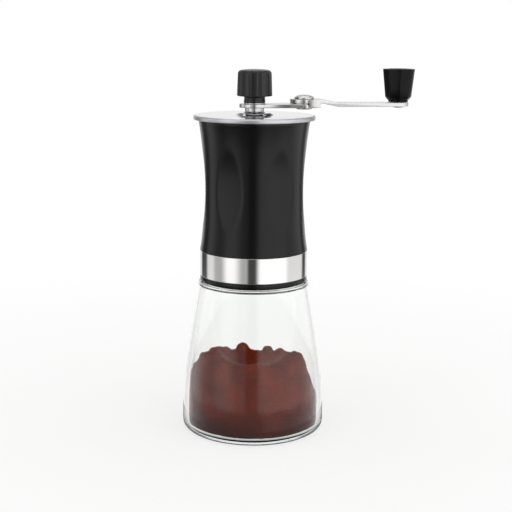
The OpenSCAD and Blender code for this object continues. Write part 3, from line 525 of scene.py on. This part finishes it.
def lump(bm, x, y, radius, z):
    """A round clump of grounds, sunk in the heap."""
    made = bmesh.ops.create_icosphere(bm, subdivisions=3, radius=mm(radius))
    bmesh.ops.translate(bm, verts=made["verts"], vec=(mm(x), mm(y), mm(z)))


def ground_coffee():
    """Medium ground coffee: dull, warm red-brown, with every grain a slightly different shade, and
    painted shade that darkens it towards the bottom of the jar. Grains are about 0.7 mm across."""
    material, tree, surface = start_material("medium_ground_coffee")
    place = add(tree, "TexCoord")
    grain = add(tree, "TexVoronoi", {"Vector": place.outputs["Object"], "Scale": 1 / mm(GRAIN)})
    patch = add(tree, "TexNoise", {"Vector": place.outputs["Object"], "Scale": 1 / mm(PATCH),
                                   "Detail": 5})
    shade = add(tree, "ValToRGB", {0: patch.outputs["Fac"]})
    shade.color_ramp.elements[0].position = 0.32
    shade.color_ramp.elements[0].color = linear("54190B")
    shade.color_ramp.elements[1].position = 0.7
    shade.color_ramp.elements[1].color = linear("782A16")
    speck = add(tree, "Mix", {0: 0.06, 6: shade.outputs["Color"], 7: grain.outputs["Color"]},
                data_type="RGBA", blend_type="SOFT_LIGHT")
    bump = add(tree, "Bump", {"Strength": 0.15, "Distance": mm(0.3),
                              "Height": grain.outputs["Distance"]})
    height = add(tree, "SeparateXYZ", {0: place.outputs["Object"]})
    # Painted shade: the colour is scaled down to 0.3 towards the bottom, standing in for the shade
    # low in the jar
    painted_shade = add(tree, "MapRange", {"Value": height.outputs["Z"], "From Min": mm(PAINTED_SHADE_LOW_H),
                                     "From Max": mm(PAINTED_SHADE_TOP_H), "To Min": 0.3, "To Max": 1.0},
                  interpolation_type="SMOOTHSTEP")
    shade_darkened = add(tree, "VectorMath", {0: speck.outputs[2], "Scale": painted_shade.outputs[0]},
                 operation="SCALE")
    feed(tree, surface, {"Base Color": shade_darkened.outputs[0], "Roughness": 0.8,
                         "Specular IOR Level": 0.0, "Normal": bump.outputs["Normal"]})
    return material


def remeshed(bm, size):
    """One closed skin round overlapping shapes, on a grid of the size given."""
    mesh = bpy.data.meshes.new("draft")
    bm.to_mesh(mesh)
    bm.free()
    draft = bpy.data.objects.new("draft", mesh)
    scene.collection.objects.link(draft)
    skin = draft.modifiers.new("skin", "REMESH")
    skin.mode = "VOXEL"
    skin.voxel_size = size
    depsgraph = bpy.context.evaluated_depsgraph_get()
    shaped = bpy.data.meshes.new_from_object(draft.evaluated_get(depsgraph))
    merged = bmesh.new()
    merged.from_mesh(shaped)
    bpy.data.objects.remove(draft)
    bpy.data.meshes.remove(mesh)
    bpy.data.meshes.remove(shaped)
    return merged


def granulate(bm):
    """Gives the skin its clods and crumbs, and keeps it clear of the glass."""
    low_z = FLOOR_T + COFFEE_GAP + FLOOR_ROUND
    bm.normal_update()
    for vert in bm.verts:
        z = vert.co.z * 1000
        relief = (CLOD_RELIEF * noise.noise(vert.co / mm(CLOD))
                  + CRUMB_RELIEF * noise.noise(vert.co / mm(CRUMB)))
        vert.co += vert.normal * mm(relief)
        wall_r = jar_side(z) - GLASS_T - COFFEE_GAP
        under = max(0, low_z - z)
        limit = mm(wall_r - FLOOR_ROUND + sqrt(max(0, FLOOR_ROUND ** 2 - under ** 2)))
        out = hypot(vert.co.x, vert.co.y)
        if out > limit:
            vert.co.x *= limit / out
            vert.co.y *= limit / out
        vert.co.z = max(vert.co.z, mm(FLOOR_T + COFFEE_GAP))


bm = remeshed(heap(), mm(SKIN_GRID))
granulate(bm)
make("coffee_heap", bm, ground_coffee(), "jar", "ground_coffee", "coffee_grounds", crease=180)


# ---- Jar seal ----
# A flat ring moulded from pale silicone. It lies under the deck inside the head's collar, and is
# squeezed on to the jar's rim when the head is screwed down.


def dress(node, material):
    """Gives a CAD node its finish; its shape stays as it is."""
    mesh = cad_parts[node].data
    mesh.materials.clear()
    mesh.materials.append(material)


def silicone():
    """Moulded silicone rubber: milky, soft and dull, with clouds about 3 mm across."""
    material, tree, surface = start_material("moulded_silicone")
    place = add(tree, "TexCoord")
    cloud = add(tree, "TexNoise", {"Vector": place.outputs["Object"], "Scale": 1 / mm(3.3),
                                   "Detail": 2})
    shade = add(tree, "Mix", {0: cloud.outputs["Fac"], 6: linear("DEDDD8"), 7: linear("EAE9E5")},
                data_type="RGBA")
    feed(tree, surface, {"Base Color": shade.outputs[2], "Roughness": 0.55, "IOR": 1.41,
                         "Subsurface Weight": 0.1, "Subsurface Scale": mm(1)})
    return material


dress("jar_seal", silicone())


# ---- Mill body ----
# One moulding of black plastic: a lip, a collar that screws on to the jar, a waisted body with
# six shallow thumb scallops, and the hopper inside it.

LIP_R = 28.3
LIP_Z = 81
BAND_Z = 83.9
SKIN_R = 28.05
FOOT_Z = 97.3
FOOT_R = 28.4
WAIST_R = 26.6
WAIST_Z = 131
TOP_R = 29
TOP_Z = 164.8
MOUTH_Z = 165.9
MOUTH_R = 26.1
MOUTH_DEEP = 7
HOPPER_R = 22.5
HOPPER_Z = 135
FUNNEL_Z = 116
THROAT_R = 17.9
WELL_R = 20.6
WELL_Z = 104
RETAINER_R = 22.2
RETAINER_Z = 86.2
DECK_Z = 93.9
SOCKET_R = 25.6
SCALLOPS = 6
SCALLOP_TURN = radians(54)
SCALLOP_R = 25.2
SCALLOP_Z = 130
SCALLOP_ARC = 112
SCALLOP_HOLLOW = 100
SCALLOP_BLEND = 0.1


def body_side(z):
    """Radius of the body at a height: it swells from the waist to the foot and to the mouth."""
    if z < WAIST_Z:
        return WAIST_R + (FOOT_R - WAIST_R) * ((WAIST_Z - z) / (WAIST_Z - FOOT_Z)) ** 3.4
    return WAIST_R + (TOP_R - WAIST_R) * ((z - WAIST_Z) / (TOP_Z - WAIST_Z)) ** 2.5


def casing_outline(rows=90):
    """The body's wall cut through: up the outside from the lip, and down through the hopper, the
    burrs' well and the socket for the jar."""
    outline = arc(LIP_R - 0.6, LIP_Z + 0.6, 0.6, -90, 0, 4)
    outline += [(LIP_R, BAND_Z - 0.3), (LIP_R - 0.1, BAND_Z), (SKIN_R, BAND_Z), (SKIN_R, FOOT_Z)]
    outline += [(FOOT_R - 0.25, FOOT_Z), (FOOT_R - 0.05, FOOT_Z + 0.1)]
    for i in range(rows + 1):
        z = FOOT_Z + 0.3 + (TOP_Z - FOOT_Z - 0.3) * i / rows
        outline.append((body_side(z), z))
    outline += [(TOP_R, MOUTH_Z - 0.2), (TOP_R - 0.2, MOUTH_Z), (MOUTH_R, MOUTH_Z)]
    outline += [(MOUTH_R, MOUTH_Z - MOUTH_DEEP), (HOPPER_R, HOPPER_Z), (HOPPER_R, FUNNEL_Z)]
    outline += [(THROAT_R, WELL_Z), (WELL_R, WELL_Z), (WELL_R, RETAINER_Z)]
    outline += [(RETAINER_R, RETAINER_Z), (RETAINER_R, DECK_Z), (SOCKET_R, DECK_Z)]
    return outline + [(SOCKET_R, LIP_Z)]


def press_scallops(bm):
    """Presses the thumb scallops in: each is a hollow that follows a tall arc up the side."""
    pitch = 2 * pi / SCALLOPS
    for vert in bm.verts:
        x, y, z = vert.co * 1000
        radius = hypot(x, y)
        if not FOOT_Z + 0.2 < z < TOP_Z - 0.2 or radius < WAIST_R - 0.5:
            continue
        turn = (Vector((x, y)).angle_signed(Vector((1, 0))) - SCALLOP_TURN) % pitch
        turn = min(turn, pitch - turn)
        cut = (SCALLOP_R + (z - SCALLOP_Z) ** 2 / (2 * SCALLOP_ARC)
               + (radius * sin(turn)) ** 2 / (2 * SCALLOP_HOLLOW)) / cos(turn)
        gap = radius - cut
        deeper = (gap + sqrt(gap * gap + 4 * SCALLOP_BLEND ** 2)) / 2
        share = 1 - deeper / radius
        vert.co.x *= share
        vert.co.y *= share


def satin_plastic(name, deep, pale, roughness, grain_mm, shine):
    """Injection-moulded plastic from a spark-eroded mould: near black, with a satin sheen, a very
    fine even grain, and flow marks about 25 mm across."""
    material, tree, surface = start_material(name)
    place = add(tree, "TexCoord")
    flow = add(tree, "TexNoise", {"Vector": place.outputs["Object"], "Scale": 1 / mm(25),
                                  "Detail": 3})
    shade = add(tree, "Mix", {0: flow.outputs["Fac"], 6: linear(deep), 7: linear(pale)},
                data_type="RGBA")
    rough = add(tree, "MapRange", {"Value": flow.outputs["Fac"], "To Min": roughness - 0.03,
                                   "To Max": roughness + 0.03})
    grain = add(tree, "TexNoise", {"Vector": place.outputs["Object"], "Scale": 1 / mm(grain_mm),
                                   "Detail": 1})
    bump = add(tree, "Bump", {"Strength": 0.08, "Distance": mm(0.05),
                              "Height": grain.outputs["Fac"]})
    feed(tree, surface, {"Base Color": shade.outputs[2], "Roughness": rough.outputs["Result"],
                         "IOR": 1.54, "Specular IOR Level": shine,
                         "Normal": bump.outputs["Normal"]})
    return material


black_abs = satin_plastic("moulded_black_abs", "060606", "080809", 0.24, 0.35, 0.24)
bm = revolve(casing_outline(), 240)
press_scallops(bm)
make("mill_casing", bm, black_abs, "mill", "black_plastic", "mill_body")


# ---- Bearing bridge ----
# Three arms across the hopper, moulded in one with the body, that carry the hub for the shaft's
# bushes. Beans fall between them to the burrs.

HUB_Z = 116
HUB_H = 12
HUB_R = 7.2
HUB_BORE = 4.6
ARM_T = 2.8
ARM_RISE = 1.2
ARM_H = 9
ARM_IN_HUB = 1
ARM_IN_WALL = 0.6
ARM_ROUND = 1.1


def bearing_bridge():
    """The hub, with three arms whose top edges are rounded to let the beans slide past."""
    bm = revolve([(HUB_BORE, HUB_Z), (HUB_R, HUB_Z), (HUB_R, HUB_Z + HUB_H - 0.5),
                  (HUB_R - 0.5, HUB_Z + HUB_H), (HUB_BORE, HUB_Z + HUB_H)], 64)
    reach = HOPPER_R + ARM_IN_WALL - HUB_R + ARM_IN_HUB
    for i in range(3):
        arm = bmesh.ops.create_cube(bm, size=1)["verts"]
        bmesh.ops.scale(bm, verts=arm, vec=(mm(reach), mm(ARM_T), mm(ARM_H)))
        bmesh.ops.translate(bm, verts=arm, vec=(mm(HUB_R - ARM_IN_HUB + reach / 2), 0,
                                                mm(HUB_Z + ARM_RISE + ARM_H / 2)))
        top = [e for e in {e for v in arm for e in v.link_edges}
               if min(v.co.z for v in e.verts) > mm(HUB_Z + ARM_RISE + ARM_H - 0.1)
               and abs(e.verts[0].co.y - e.verts[1].co.y) < mm(0.1)]
        made = bmesh.ops.bevel(bm, geom=top, offset=mm(ARM_ROUND), segments=3, profile=0.5,
                               affect="EDGES", material=-1)
        whole = set(made["verts"]) | {v for v in arm if v.is_valid}
        bmesh.ops.rotate(bm, verts=list(whole), cent=(0, 0, 0),
                         matrix=Matrix.Rotation(2 * pi / 3 * (i + 0.5), 3, "Z"))
    return bm


make("bearing_bridge", bearing_bridge(), black_abs, "mill", "black_plastic", "mill_body")


# ---- Steel band ----
# Thin stainless sheet, drawn into a ring round the collar and polished on a wheel, which leaves
# a faint grain round it. Its edges are turned over.

BAND_R = 28.5
BAND_T = 0.4
BAND_EDGE = 0.3
BAND_ROW = 0.1
NO_EDGE = 1000
EDGE_FADE = 0.4
EDGE_DULL = 0.3


def wheel_polished(name, colour, roughness, grain, stretch, edge_r=NO_EDGE):
    """Polished stainless steel: bright, with fine polishing lines. The lines are drawn a few
    tenths of a millimetre apart or more, coarser than real ones, to show, over smears about 18 mm
    across. Beyond edge_r the polish is duller, as on a rim that is left from the press."""
    material, tree, surface = start_material(name)
    place = add(tree, "TexCoord")
    drawn = add(tree, "Mapping", {"Vector": place.outputs["Object"], "Scale": stretch})
    lines = add(tree, "TexNoise", {"Vector": drawn.outputs[0], "Scale": 1 / mm(grain), "Detail": 2})
    smear = add(tree, "TexNoise", {"Vector": place.outputs["Object"], "Scale": 1 / mm(18.2),
                                   "Detail": 2})
    pale = [min(1, c * 1.12) for c in linear(colour)]
    shade = add(tree, "Mix", {0: smear.outputs["Fac"], 6: linear(colour), 7: pale},
                data_type="RGBA")
    rough = add(tree, "MapRange", {"Value": lines.outputs["Fac"], "To Min": roughness * 0.75,
                                   "To Max": roughness * 1.25})
    bump = add(tree, "Bump", {"Strength": 0.06, "Distance": mm(0.05),
                              "Height": lines.outputs["Fac"]})
    flat = add(tree, "VectorMath", {0: place.outputs["Object"], 1: (1, 1, 0)}, operation="MULTIPLY")
    out = add(tree, "VectorMath", {0: flat.outputs[0]}, operation="LENGTH")
    dull = add(tree, "MapRange", {"Value": out.outputs["Value"], "From Min": mm(edge_r),
                                  "From Max": mm(edge_r + EDGE_FADE), "To Max": EDGE_DULL})
    rough = add(tree, "Math", {0: rough.outputs["Result"], 1: dull.outputs["Result"]})
    feed(tree, surface, {"Base Color": shade.outputs[2], "Metallic": 1.0,
                         "Roughness": rough.outputs[0], "Normal": bump.outputs["Normal"]})
    return material


round_polish = wheel_polished("round_polished_stainless", "D2D1D0", 0.11, 0.4, (0.02, 0.02, 1))
band = arc(BAND_R - BAND_EDGE, BAND_Z + BAND_EDGE, BAND_EDGE, -90, 0, 4)
# A row close to each rounded edge keeps the shading of the wall between them flat
band += [(BAND_R, BAND_Z + BAND_EDGE + BAND_ROW), (BAND_R, FOOT_Z - BAND_EDGE - BAND_ROW)]
band += arc(BAND_R - BAND_EDGE, FOOT_Z - BAND_EDGE, BAND_EDGE, 0, 90, 4)
band += [(BAND_R - BAND_T, FOOT_Z), (BAND_R - BAND_T, BAND_Z)]
make("steel_collar_band", revolve(band, 192), round_polish, "mill", "polished_steel",
     "steel_band")


# ---- Burrs ----
# Sintered alumina ceramic, off-white and matte, pressed and fired. The outer ring is keyed into
# the body, and a plastic ring closes its well from below.


def alumina():
    """Fired alumina: chalky off-white, slightly speckled, with a dry grain of about 0.3 mm."""
    material, tree, surface = start_material("fired_alumina")
    place = add(tree, "TexCoord")
    speck = add(tree, "TexNoise", {"Vector": place.outputs["Object"], "Scale": 1 / mm(0.6),
                                   "Detail": 3})
    shade = add(tree, "Mix", {0: speck.outputs["Fac"], 6: linear("D9D4C6"), 7: linear("F1EEE4")},
                data_type="RGBA")
    bump = add(tree, "Bump", {"Strength": 0.25, "Distance": mm(0.06),
                              "Height": speck.outputs["Fac"]})
    feed(tree, surface, {"Base Color": shade.outputs[2], "Roughness": 0.6, "IOR": 1.76,
                         "Normal": bump.outputs["Normal"]})
    return material


ceramic = alumina()
dress("outer_burr", ceramic)
dress("inner_burr", ceramic)
inner_plastic = satin_plastic("moulded_dark_nylon", "2A2A2B", "343435", 0.45, 0.5, 0.4)
for node in ("burr_retainer", "burr_core", "adjust_nut"):
    dress(node, inner_plastic)


# ---- Bearings and shaft ----
# Turned brass bushes pressed into the hub, and a ground stainless shaft with its washers and
# spring-steel clip. The coil spring shortens as the burr rises.


def turned_metal(name, dark, pale, roughness, groove_mm):
    """Lathe-turned metal: fine tool lines round the axis, about a tenth of a millimetre apart in
    life and drawn coarser so that they show."""
    material, tree, surface = start_material(name)
    place = add(tree, "TexCoord")
    drawn = add(tree, "Mapping", {"Vector": place.outputs["Object"], "Scale": (0.02, 0.02, 1)})
    lines = add(tree, "TexNoise", {"Vector": drawn.outputs[0], "Scale": 1 / mm(groove_mm),
                                   "Detail": 2})
    shade = add(tree, "Mix", {0: lines.outputs["Fac"], 6: linear(dark), 7: linear(pale)},
                data_type="RGBA")
    bump = add(tree, "Bump", {"Strength": 0.15, "Distance": mm(0.05),
                              "Height": lines.outputs["Fac"]})
    feed(tree, surface, {"Base Color": shade.outputs[2], "Metallic": 1.0, "Roughness": roughness,
                         "Normal": bump.outputs["Normal"]})
    return material


brass = turned_metal("turned_brass", "B98F45", "D9B56A", 0.3, 0.3)
ground_steel = turned_metal("ground_stainless", "BDBDBD", "DADADA", 0.25, 0.25)
spring_steel = turned_metal("blued_spring_steel", "7E7F83", "A5A6AA", 0.35, 0.4)
for node in ("lower_bush", "upper_bush", "lock_insert"):
    dress(node, brass)
for node in ("shaft", "thrust_washer", "spring_washer", "pivot_washer"):
    dress(node, ground_steel)
for node in ("shaft_clip", "detent_washer"):
    dress(node, spring_steel)
bm = bmesh.new()
bm.from_mesh(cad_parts["burr_spring"].data)
bmesh.ops.remove_doubles(bm, verts=bm.verts, dist=1e-6)
coil = make("burr_coil_spring", bm, spring_steel, "shaft", "spring_steel", "burr_spring", crease=60)
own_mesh(coil)


# ---- Lid ----
# A pressed stainless disc with a rolled rim and a low boss round the shaft, polished bright, on a
# black plastic insert that plugs the hopper.

LID_R = 31.7
LID_Z = 168
PLATE_Z = 167.2
LID_T = 0.8
LID_BORE = 5.5
LID_ROUND = 1
RIM_H = 2.3
RIM_DULL = 1.2
BOSS_R = 10.5
BOSS_H = 1.2


def lid_outline():
    """The lid's plate cut through: from the bore over the boss to the rolled rim, and back."""
    top = LID_Z + BOSS_H
    outline = [(LID_BORE, top - LID_T), (LID_BORE, top - 0.1), (LID_BORE + 0.1, top)]
    outline += arc(BOSS_R - 2.2, top - 0.6, 0.6, 90, 45, 3)
    outline += arc(BOSS_R, LID_Z + 0.6, 0.6, -135, -90, 3)
    outline += [(14, LID_Z), (22, LID_Z), (LID_R - 2.2, LID_Z)]
    outline += arc(LID_R - LID_ROUND, LID_Z - LID_ROUND, LID_ROUND, 90, 0, 8)
    outline += arc(LID_R - 0.35, LID_Z - RIM_H + 0.35, 0.35, 0, -90, 3)
    outline += arc(LID_R - LID_T + 0.2, LID_Z - RIM_H + 0.2, 0.2, -90, -180, 2)
    outline += [(LID_R - LID_T, PLATE_Z), (BOSS_R + 0.6, PLATE_Z), (BOSS_R - 1.2, top - LID_T)]
    return outline


lid_polish = wheel_polished("mirror_polished_stainless", "C0BFC3", 0.09, 0.5, (1, 1, 1),
                            LID_R - RIM_DULL)
make("steel_lid", revolve(lid_outline(), 192), lid_polish, "lid", "polished_steel", "lid")
dress("lid_insert", black_abs)


# ---- Crank ----
# Two plates stamped from 2 mm stainless, tumbled and polished so that their edges are soft. A
# domed rivet lets the outer plate fold, and a bent lug stops it when the crank is straight.

PIVOT_X = 26
PLATE_EDGE = 0.3
RIVET_Z = 170.9
RIVET_R = 2.2
RIVET_FOOT_R = 4.4
RIVET_FOOT_H = 0.9
RIVET_HEAD_Z = 176.22
RIVET_HEAD_R = 5.2
DOME_Z = 176.6
DOME_H = 1.9
COLLAR_Z = 169.7
COLLAR_TOP_Z = 171.8
COLLAR_R = 5
COLLAR_BORE = 3.06


def softened(node, bevel, crease=30):
    """A merged copy of a CAD node with its sharp edges rounded."""
    bm = bmesh.new()
    bm.from_mesh(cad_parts[node].data)
    bmesh.ops.remove_doubles(bm, verts=bm.verts, dist=1e-6)
    bmesh.ops.dissolve_limit(bm, angle_limit=radians(1), verts=bm.verts, edges=bm.edges)
    sharp = [e for e in bm.edges if e.is_manifold and e.calc_face_angle() > radians(crease)]
    bmesh.ops.bevel(bm, geom=sharp, offset=mm(bevel), offset_type="OFFSET", segments=3,
                    profile=0.5, affect="EDGES", material=-1, clamp_overlap=True)
    return bm


def round_part(name, outline, x, material, body, slot, node, steps=64):
    """A turned part, spun about its own upright axis."""
    bm = revolve(outline, steps)
    bmesh.ops.translate(bm, verts=bm.verts, vec=(mm(x), 0, 0))
    return make(name, bm, material, body, slot, node)


crank_polish = wheel_polished("tumbled_stainless", "C8C7C6", 0.25, 2, (1, 1, 1))
make("crank_inner_link", softened("crank_link", PLATE_EDGE), crank_polish, "crank",
     "polished_steel", "crank_link")
make("crank_outer_arm", softened("crank_arm", PLATE_EDGE), crank_polish, "arm",
     "polished_steel", "crank_arm")
rivet = [(0, RIVET_Z), (RIVET_FOOT_R - 0.65, RIVET_Z), (RIVET_FOOT_R - 0.15, RIVET_Z + 0.3),
         (RIVET_FOOT_R, RIVET_Z + RIVET_FOOT_H), (RIVET_R, RIVET_Z + RIVET_FOOT_H),
         (RIVET_R, RIVET_HEAD_Z), (RIVET_HEAD_R - 0.25, RIVET_HEAD_Z),
         (RIVET_HEAD_R, RIVET_HEAD_Z + 0.23), (RIVET_HEAD_R, DOME_Z)]
rivet += [(RIVET_HEAD_R * cos(radians(a)), DOME_Z + DOME_H * sin(radians(a)))
          for a in range(12, 91, 13)]
round_part("crank_pivot_rivet", rivet, PIVOT_X, crank_polish, "crank", "polished_steel",
           "pivot_rivet")
collar = [(COLLAR_BORE, COLLAR_Z), (COLLAR_R - 0.3, COLLAR_Z), (COLLAR_R, COLLAR_Z + 0.25),
          (COLLAR_R, COLLAR_TOP_Z - 0.2), (COLLAR_R - 0.2, COLLAR_TOP_Z),
          (COLLAR_BORE, COLLAR_TOP_Z)]
round_part("crank_collar_sleeve", collar, 0, crank_polish, "crank", "brushed_steel",
           "crank_collar")


# ---- Handle ----
# An eight-sided knob of black plastic that narrows to a round neck and is dished on top. It turns
# on a steel pin riveted through the arm.

KNOB_Z = 174.66
KNOB_TOP_Z = 191.76
KNOB_NECK_R = 5.2
KNOB_NECK_H = 0.8
KNOB_BEVEL_H = 1.7
KNOB_LOW_R = 6.95
KNOB_TOP_R = 8.5
KNOB_TURN = radians(37)
KNOB_BORE = 2.06
KNOB_EDGE = 0.45
DISH_RIM = 1.1
DISH_SLOPE = 2.2
DISH_DEPTH = 0.7
PIN_X = 76
PIN_Z = 171.66
PIN_R = 2
PIN_HEAD_R = 3
PIN_HEAD_H = 0.7
PIN_TOP_Z = 186


def handle_knob():
    """The knob: an octagon drawn up and outwards from its neck, dished, with softened edges."""
    bm = bmesh.new()
    side_z = KNOB_Z + KNOB_NECK_H + KNOB_BEVEL_H
    base = bmesh.ops.create_circle(bm, cap_ends=True, segments=8, radius=mm(KNOB_NECK_R + 0.3))
    bmesh.ops.translate(bm, verts=base["verts"], vec=(0, 0, mm(KNOB_Z + KNOB_NECK_H)))
    face = bm.faces[:][0]
    for radius, z in ((KNOB_LOW_R, side_z), (KNOB_TOP_R, KNOB_TOP_Z)):
        made = bmesh.ops.extrude_face_region(bm, geom=[face])
        verts = [g for g in made["geom"] if isinstance(g, bmesh.types.BMVert)]
        bmesh.ops.delete(bm, geom=[face], context="FACES_ONLY")
        face = next(g for g in made["geom"] if isinstance(g, bmesh.types.BMFace))
        now = verts[0].co.xy.length
        bmesh.ops.scale(bm, verts=verts, vec=(mm(radius) / now, mm(radius) / now, 1))
        bmesh.ops.translate(bm, verts=verts, vec=(0, 0, mm(z) - verts[0].co.z))
    bmesh.ops.inset_region(bm, faces=[face], thickness=mm(DISH_RIM), depth=0)
    bmesh.ops.inset_region(bm, faces=[face], thickness=mm(DISH_SLOPE), depth=mm(-DISH_DEPTH))
    bmesh.ops.holes_fill(bm, edges=[e for e in bm.edges if e.is_boundary], sides=8)
    bmesh.ops.recalc_face_normals(bm, faces=bm.faces)
    sharp = [e for e in bm.edges if e.calc_face_angle() > radians(12)]
    bmesh.ops.bevel(bm, geom=sharp, offset=mm(KNOB_EDGE), offset_type="OFFSET", segments=3,
                    profile=0.5, affect="EDGES", material=-1, clamp_overlap=True)
    bmesh.ops.rotate(bm, verts=bm.verts, cent=(0, 0, 0), matrix=Matrix.Rotation(KNOB_TURN, 3, "Z"))
    neck_z = KNOB_Z + KNOB_NECK_H + 0.4
    revolve([(KNOB_BORE, KNOB_Z), (KNOB_NECK_R - 0.2, KNOB_Z), (KNOB_NECK_R, KNOB_Z + 0.2),
             (KNOB_NECK_R, neck_z), (KNOB_BORE, neck_z)], 48, bm)
    bmesh.ops.translate(bm, verts=bm.verts, vec=(mm(PIN_X), 0, 0))
    return bm


knob_abs = satin_plastic("gloss_black_abs", "040404", "060606", 0.2, 0.35, 0.12)
make("handle_knob_octagon", handle_knob(), knob_abs, "handle", "knob_plastic", "handle_knob")
pin = [(0, PIN_Z), (PIN_HEAD_R - 0.6, PIN_Z), (PIN_HEAD_R - 0.2, PIN_Z + 0.19),
       (PIN_HEAD_R, PIN_Z + PIN_HEAD_H), (PIN_R, PIN_Z + PIN_HEAD_H), (PIN_R, PIN_TOP_Z),
       (0, PIN_TOP_Z)]
round_part("handle_pin_rivet", pin, PIN_X, ground_steel, "arm", "brushed_steel", "handle_pin")


# ---- Lock knob ----
# A fluted knob of black plastic, moulded round a brass insert. It screws down on the shaft's top
# thread and clamps the crank, with a thin steel washer under it.

LOCK_Z = 174.3
LOCK_NECK_R = 5.5
LOCK_BODY_Z = 177.7
LOCK_TOP_Z = 191.5
LOCK_R = 9.15
LOCK_TAPER = 0.4
LOCK_ROUND = 2
LOCK_DOME_H = 0.45
LOCK_EDGE = 0.5
FLUTES = 12
FLUTE_SHIFT = 0.4
FLUTE_R = 0.8
FLUTE_BLEND = 0.12
WASHER_Z = 173.8
WASHER_T = 0.5
WASHER_R = 5.5
WASHER_BORE = 2.55


def lock_knob():
    """The knob, turned round and then pressed in along each flute."""
    top_r = LOCK_R - LOCK_TAPER
    outline = [(0, LOCK_Z), (LOCK_NECK_R - 0.2, LOCK_Z), (LOCK_NECK_R + 0.15, LOCK_Z + 0.25)]
    outline += [(LOCK_NECK_R - 0.1, LOCK_BODY_Z - 0.9), (LOCK_NECK_R + 0.2, LOCK_BODY_Z - 0.35)]
    outline += [(LOCK_NECK_R + 0.8, LOCK_BODY_Z)]
    outline += arc(LOCK_R - LOCK_EDGE, LOCK_BODY_Z + LOCK_EDGE, LOCK_EDGE, -90, 0, 4)
    crown_z = LOCK_TOP_Z - LOCK_DOME_H
    rise = crown_z - LOCK_ROUND - LOCK_BODY_Z - LOCK_EDGE
    for i in range(1, 12):
        outline.append((LOCK_R - LOCK_TAPER * i / 12, LOCK_BODY_Z + LOCK_EDGE + rise * i / 12))
    outline += arc(top_r - LOCK_ROUND, crown_z - LOCK_ROUND, LOCK_ROUND, 0, 80, 8)
    outline += [(top_r * 0.6, LOCK_TOP_Z - 0.2), (top_r * 0.3, LOCK_TOP_Z - 0.03), (0, LOCK_TOP_Z)]
    bm = revolve(outline, 288)
    pitch = 2 * pi / FLUTES
    for vert in bm.verts:
        x, y, z = vert.co * 1000
        radius = hypot(x, y)
        if z < LOCK_BODY_Z - 0.05 or radius < 3:
            continue
        turn = (Vector((x, y)).angle_signed(Vector((1, 0))) - pitch * FLUTE_SHIFT) % pitch
        turn = min(turn, pitch - turn)
        aside = radius * sin(turn)
        if aside < FLUTE_R * 1.6:
            centre = LOCK_R + 0.05 - LOCK_TAPER * (z - LOCK_BODY_Z) / (LOCK_TOP_Z - LOCK_BODY_Z)
            floor_r = centre - sqrt(max(0, FLUTE_R ** 2 - aside ** 2))
            gap = radius * cos(turn) - floor_r if aside < FLUTE_R else -0.2
            deeper = (gap + sqrt(gap * gap + 4 * FLUTE_BLEND ** 2)) / 2
            if gap > -0.6:
                vert.co.x *= 1 - deeper / radius
                vert.co.y *= 1 - deeper / radius
    return bm


lock_abs = satin_plastic("satin_black_abs", "131313", "191919", 0.3, 0.35, 0.36)
make("lock_knob_fluted", lock_knob(), lock_abs, "lock", "knob_plastic", "lock_knob")
washer_top_z = WASHER_Z + WASHER_T
washer = [(WASHER_BORE, WASHER_Z), (WASHER_R - 0.1, WASHER_Z), (WASHER_R, WASHER_Z + 0.1),
          (WASHER_R, washer_top_z - 0.1), (WASHER_R - 0.1, washer_top_z),
          (WASHER_BORE, washer_top_z)]
round_part("lock_washer_ring", washer, 0, ground_steel, "lock_base", "brushed_steel",
           "lock_washer")
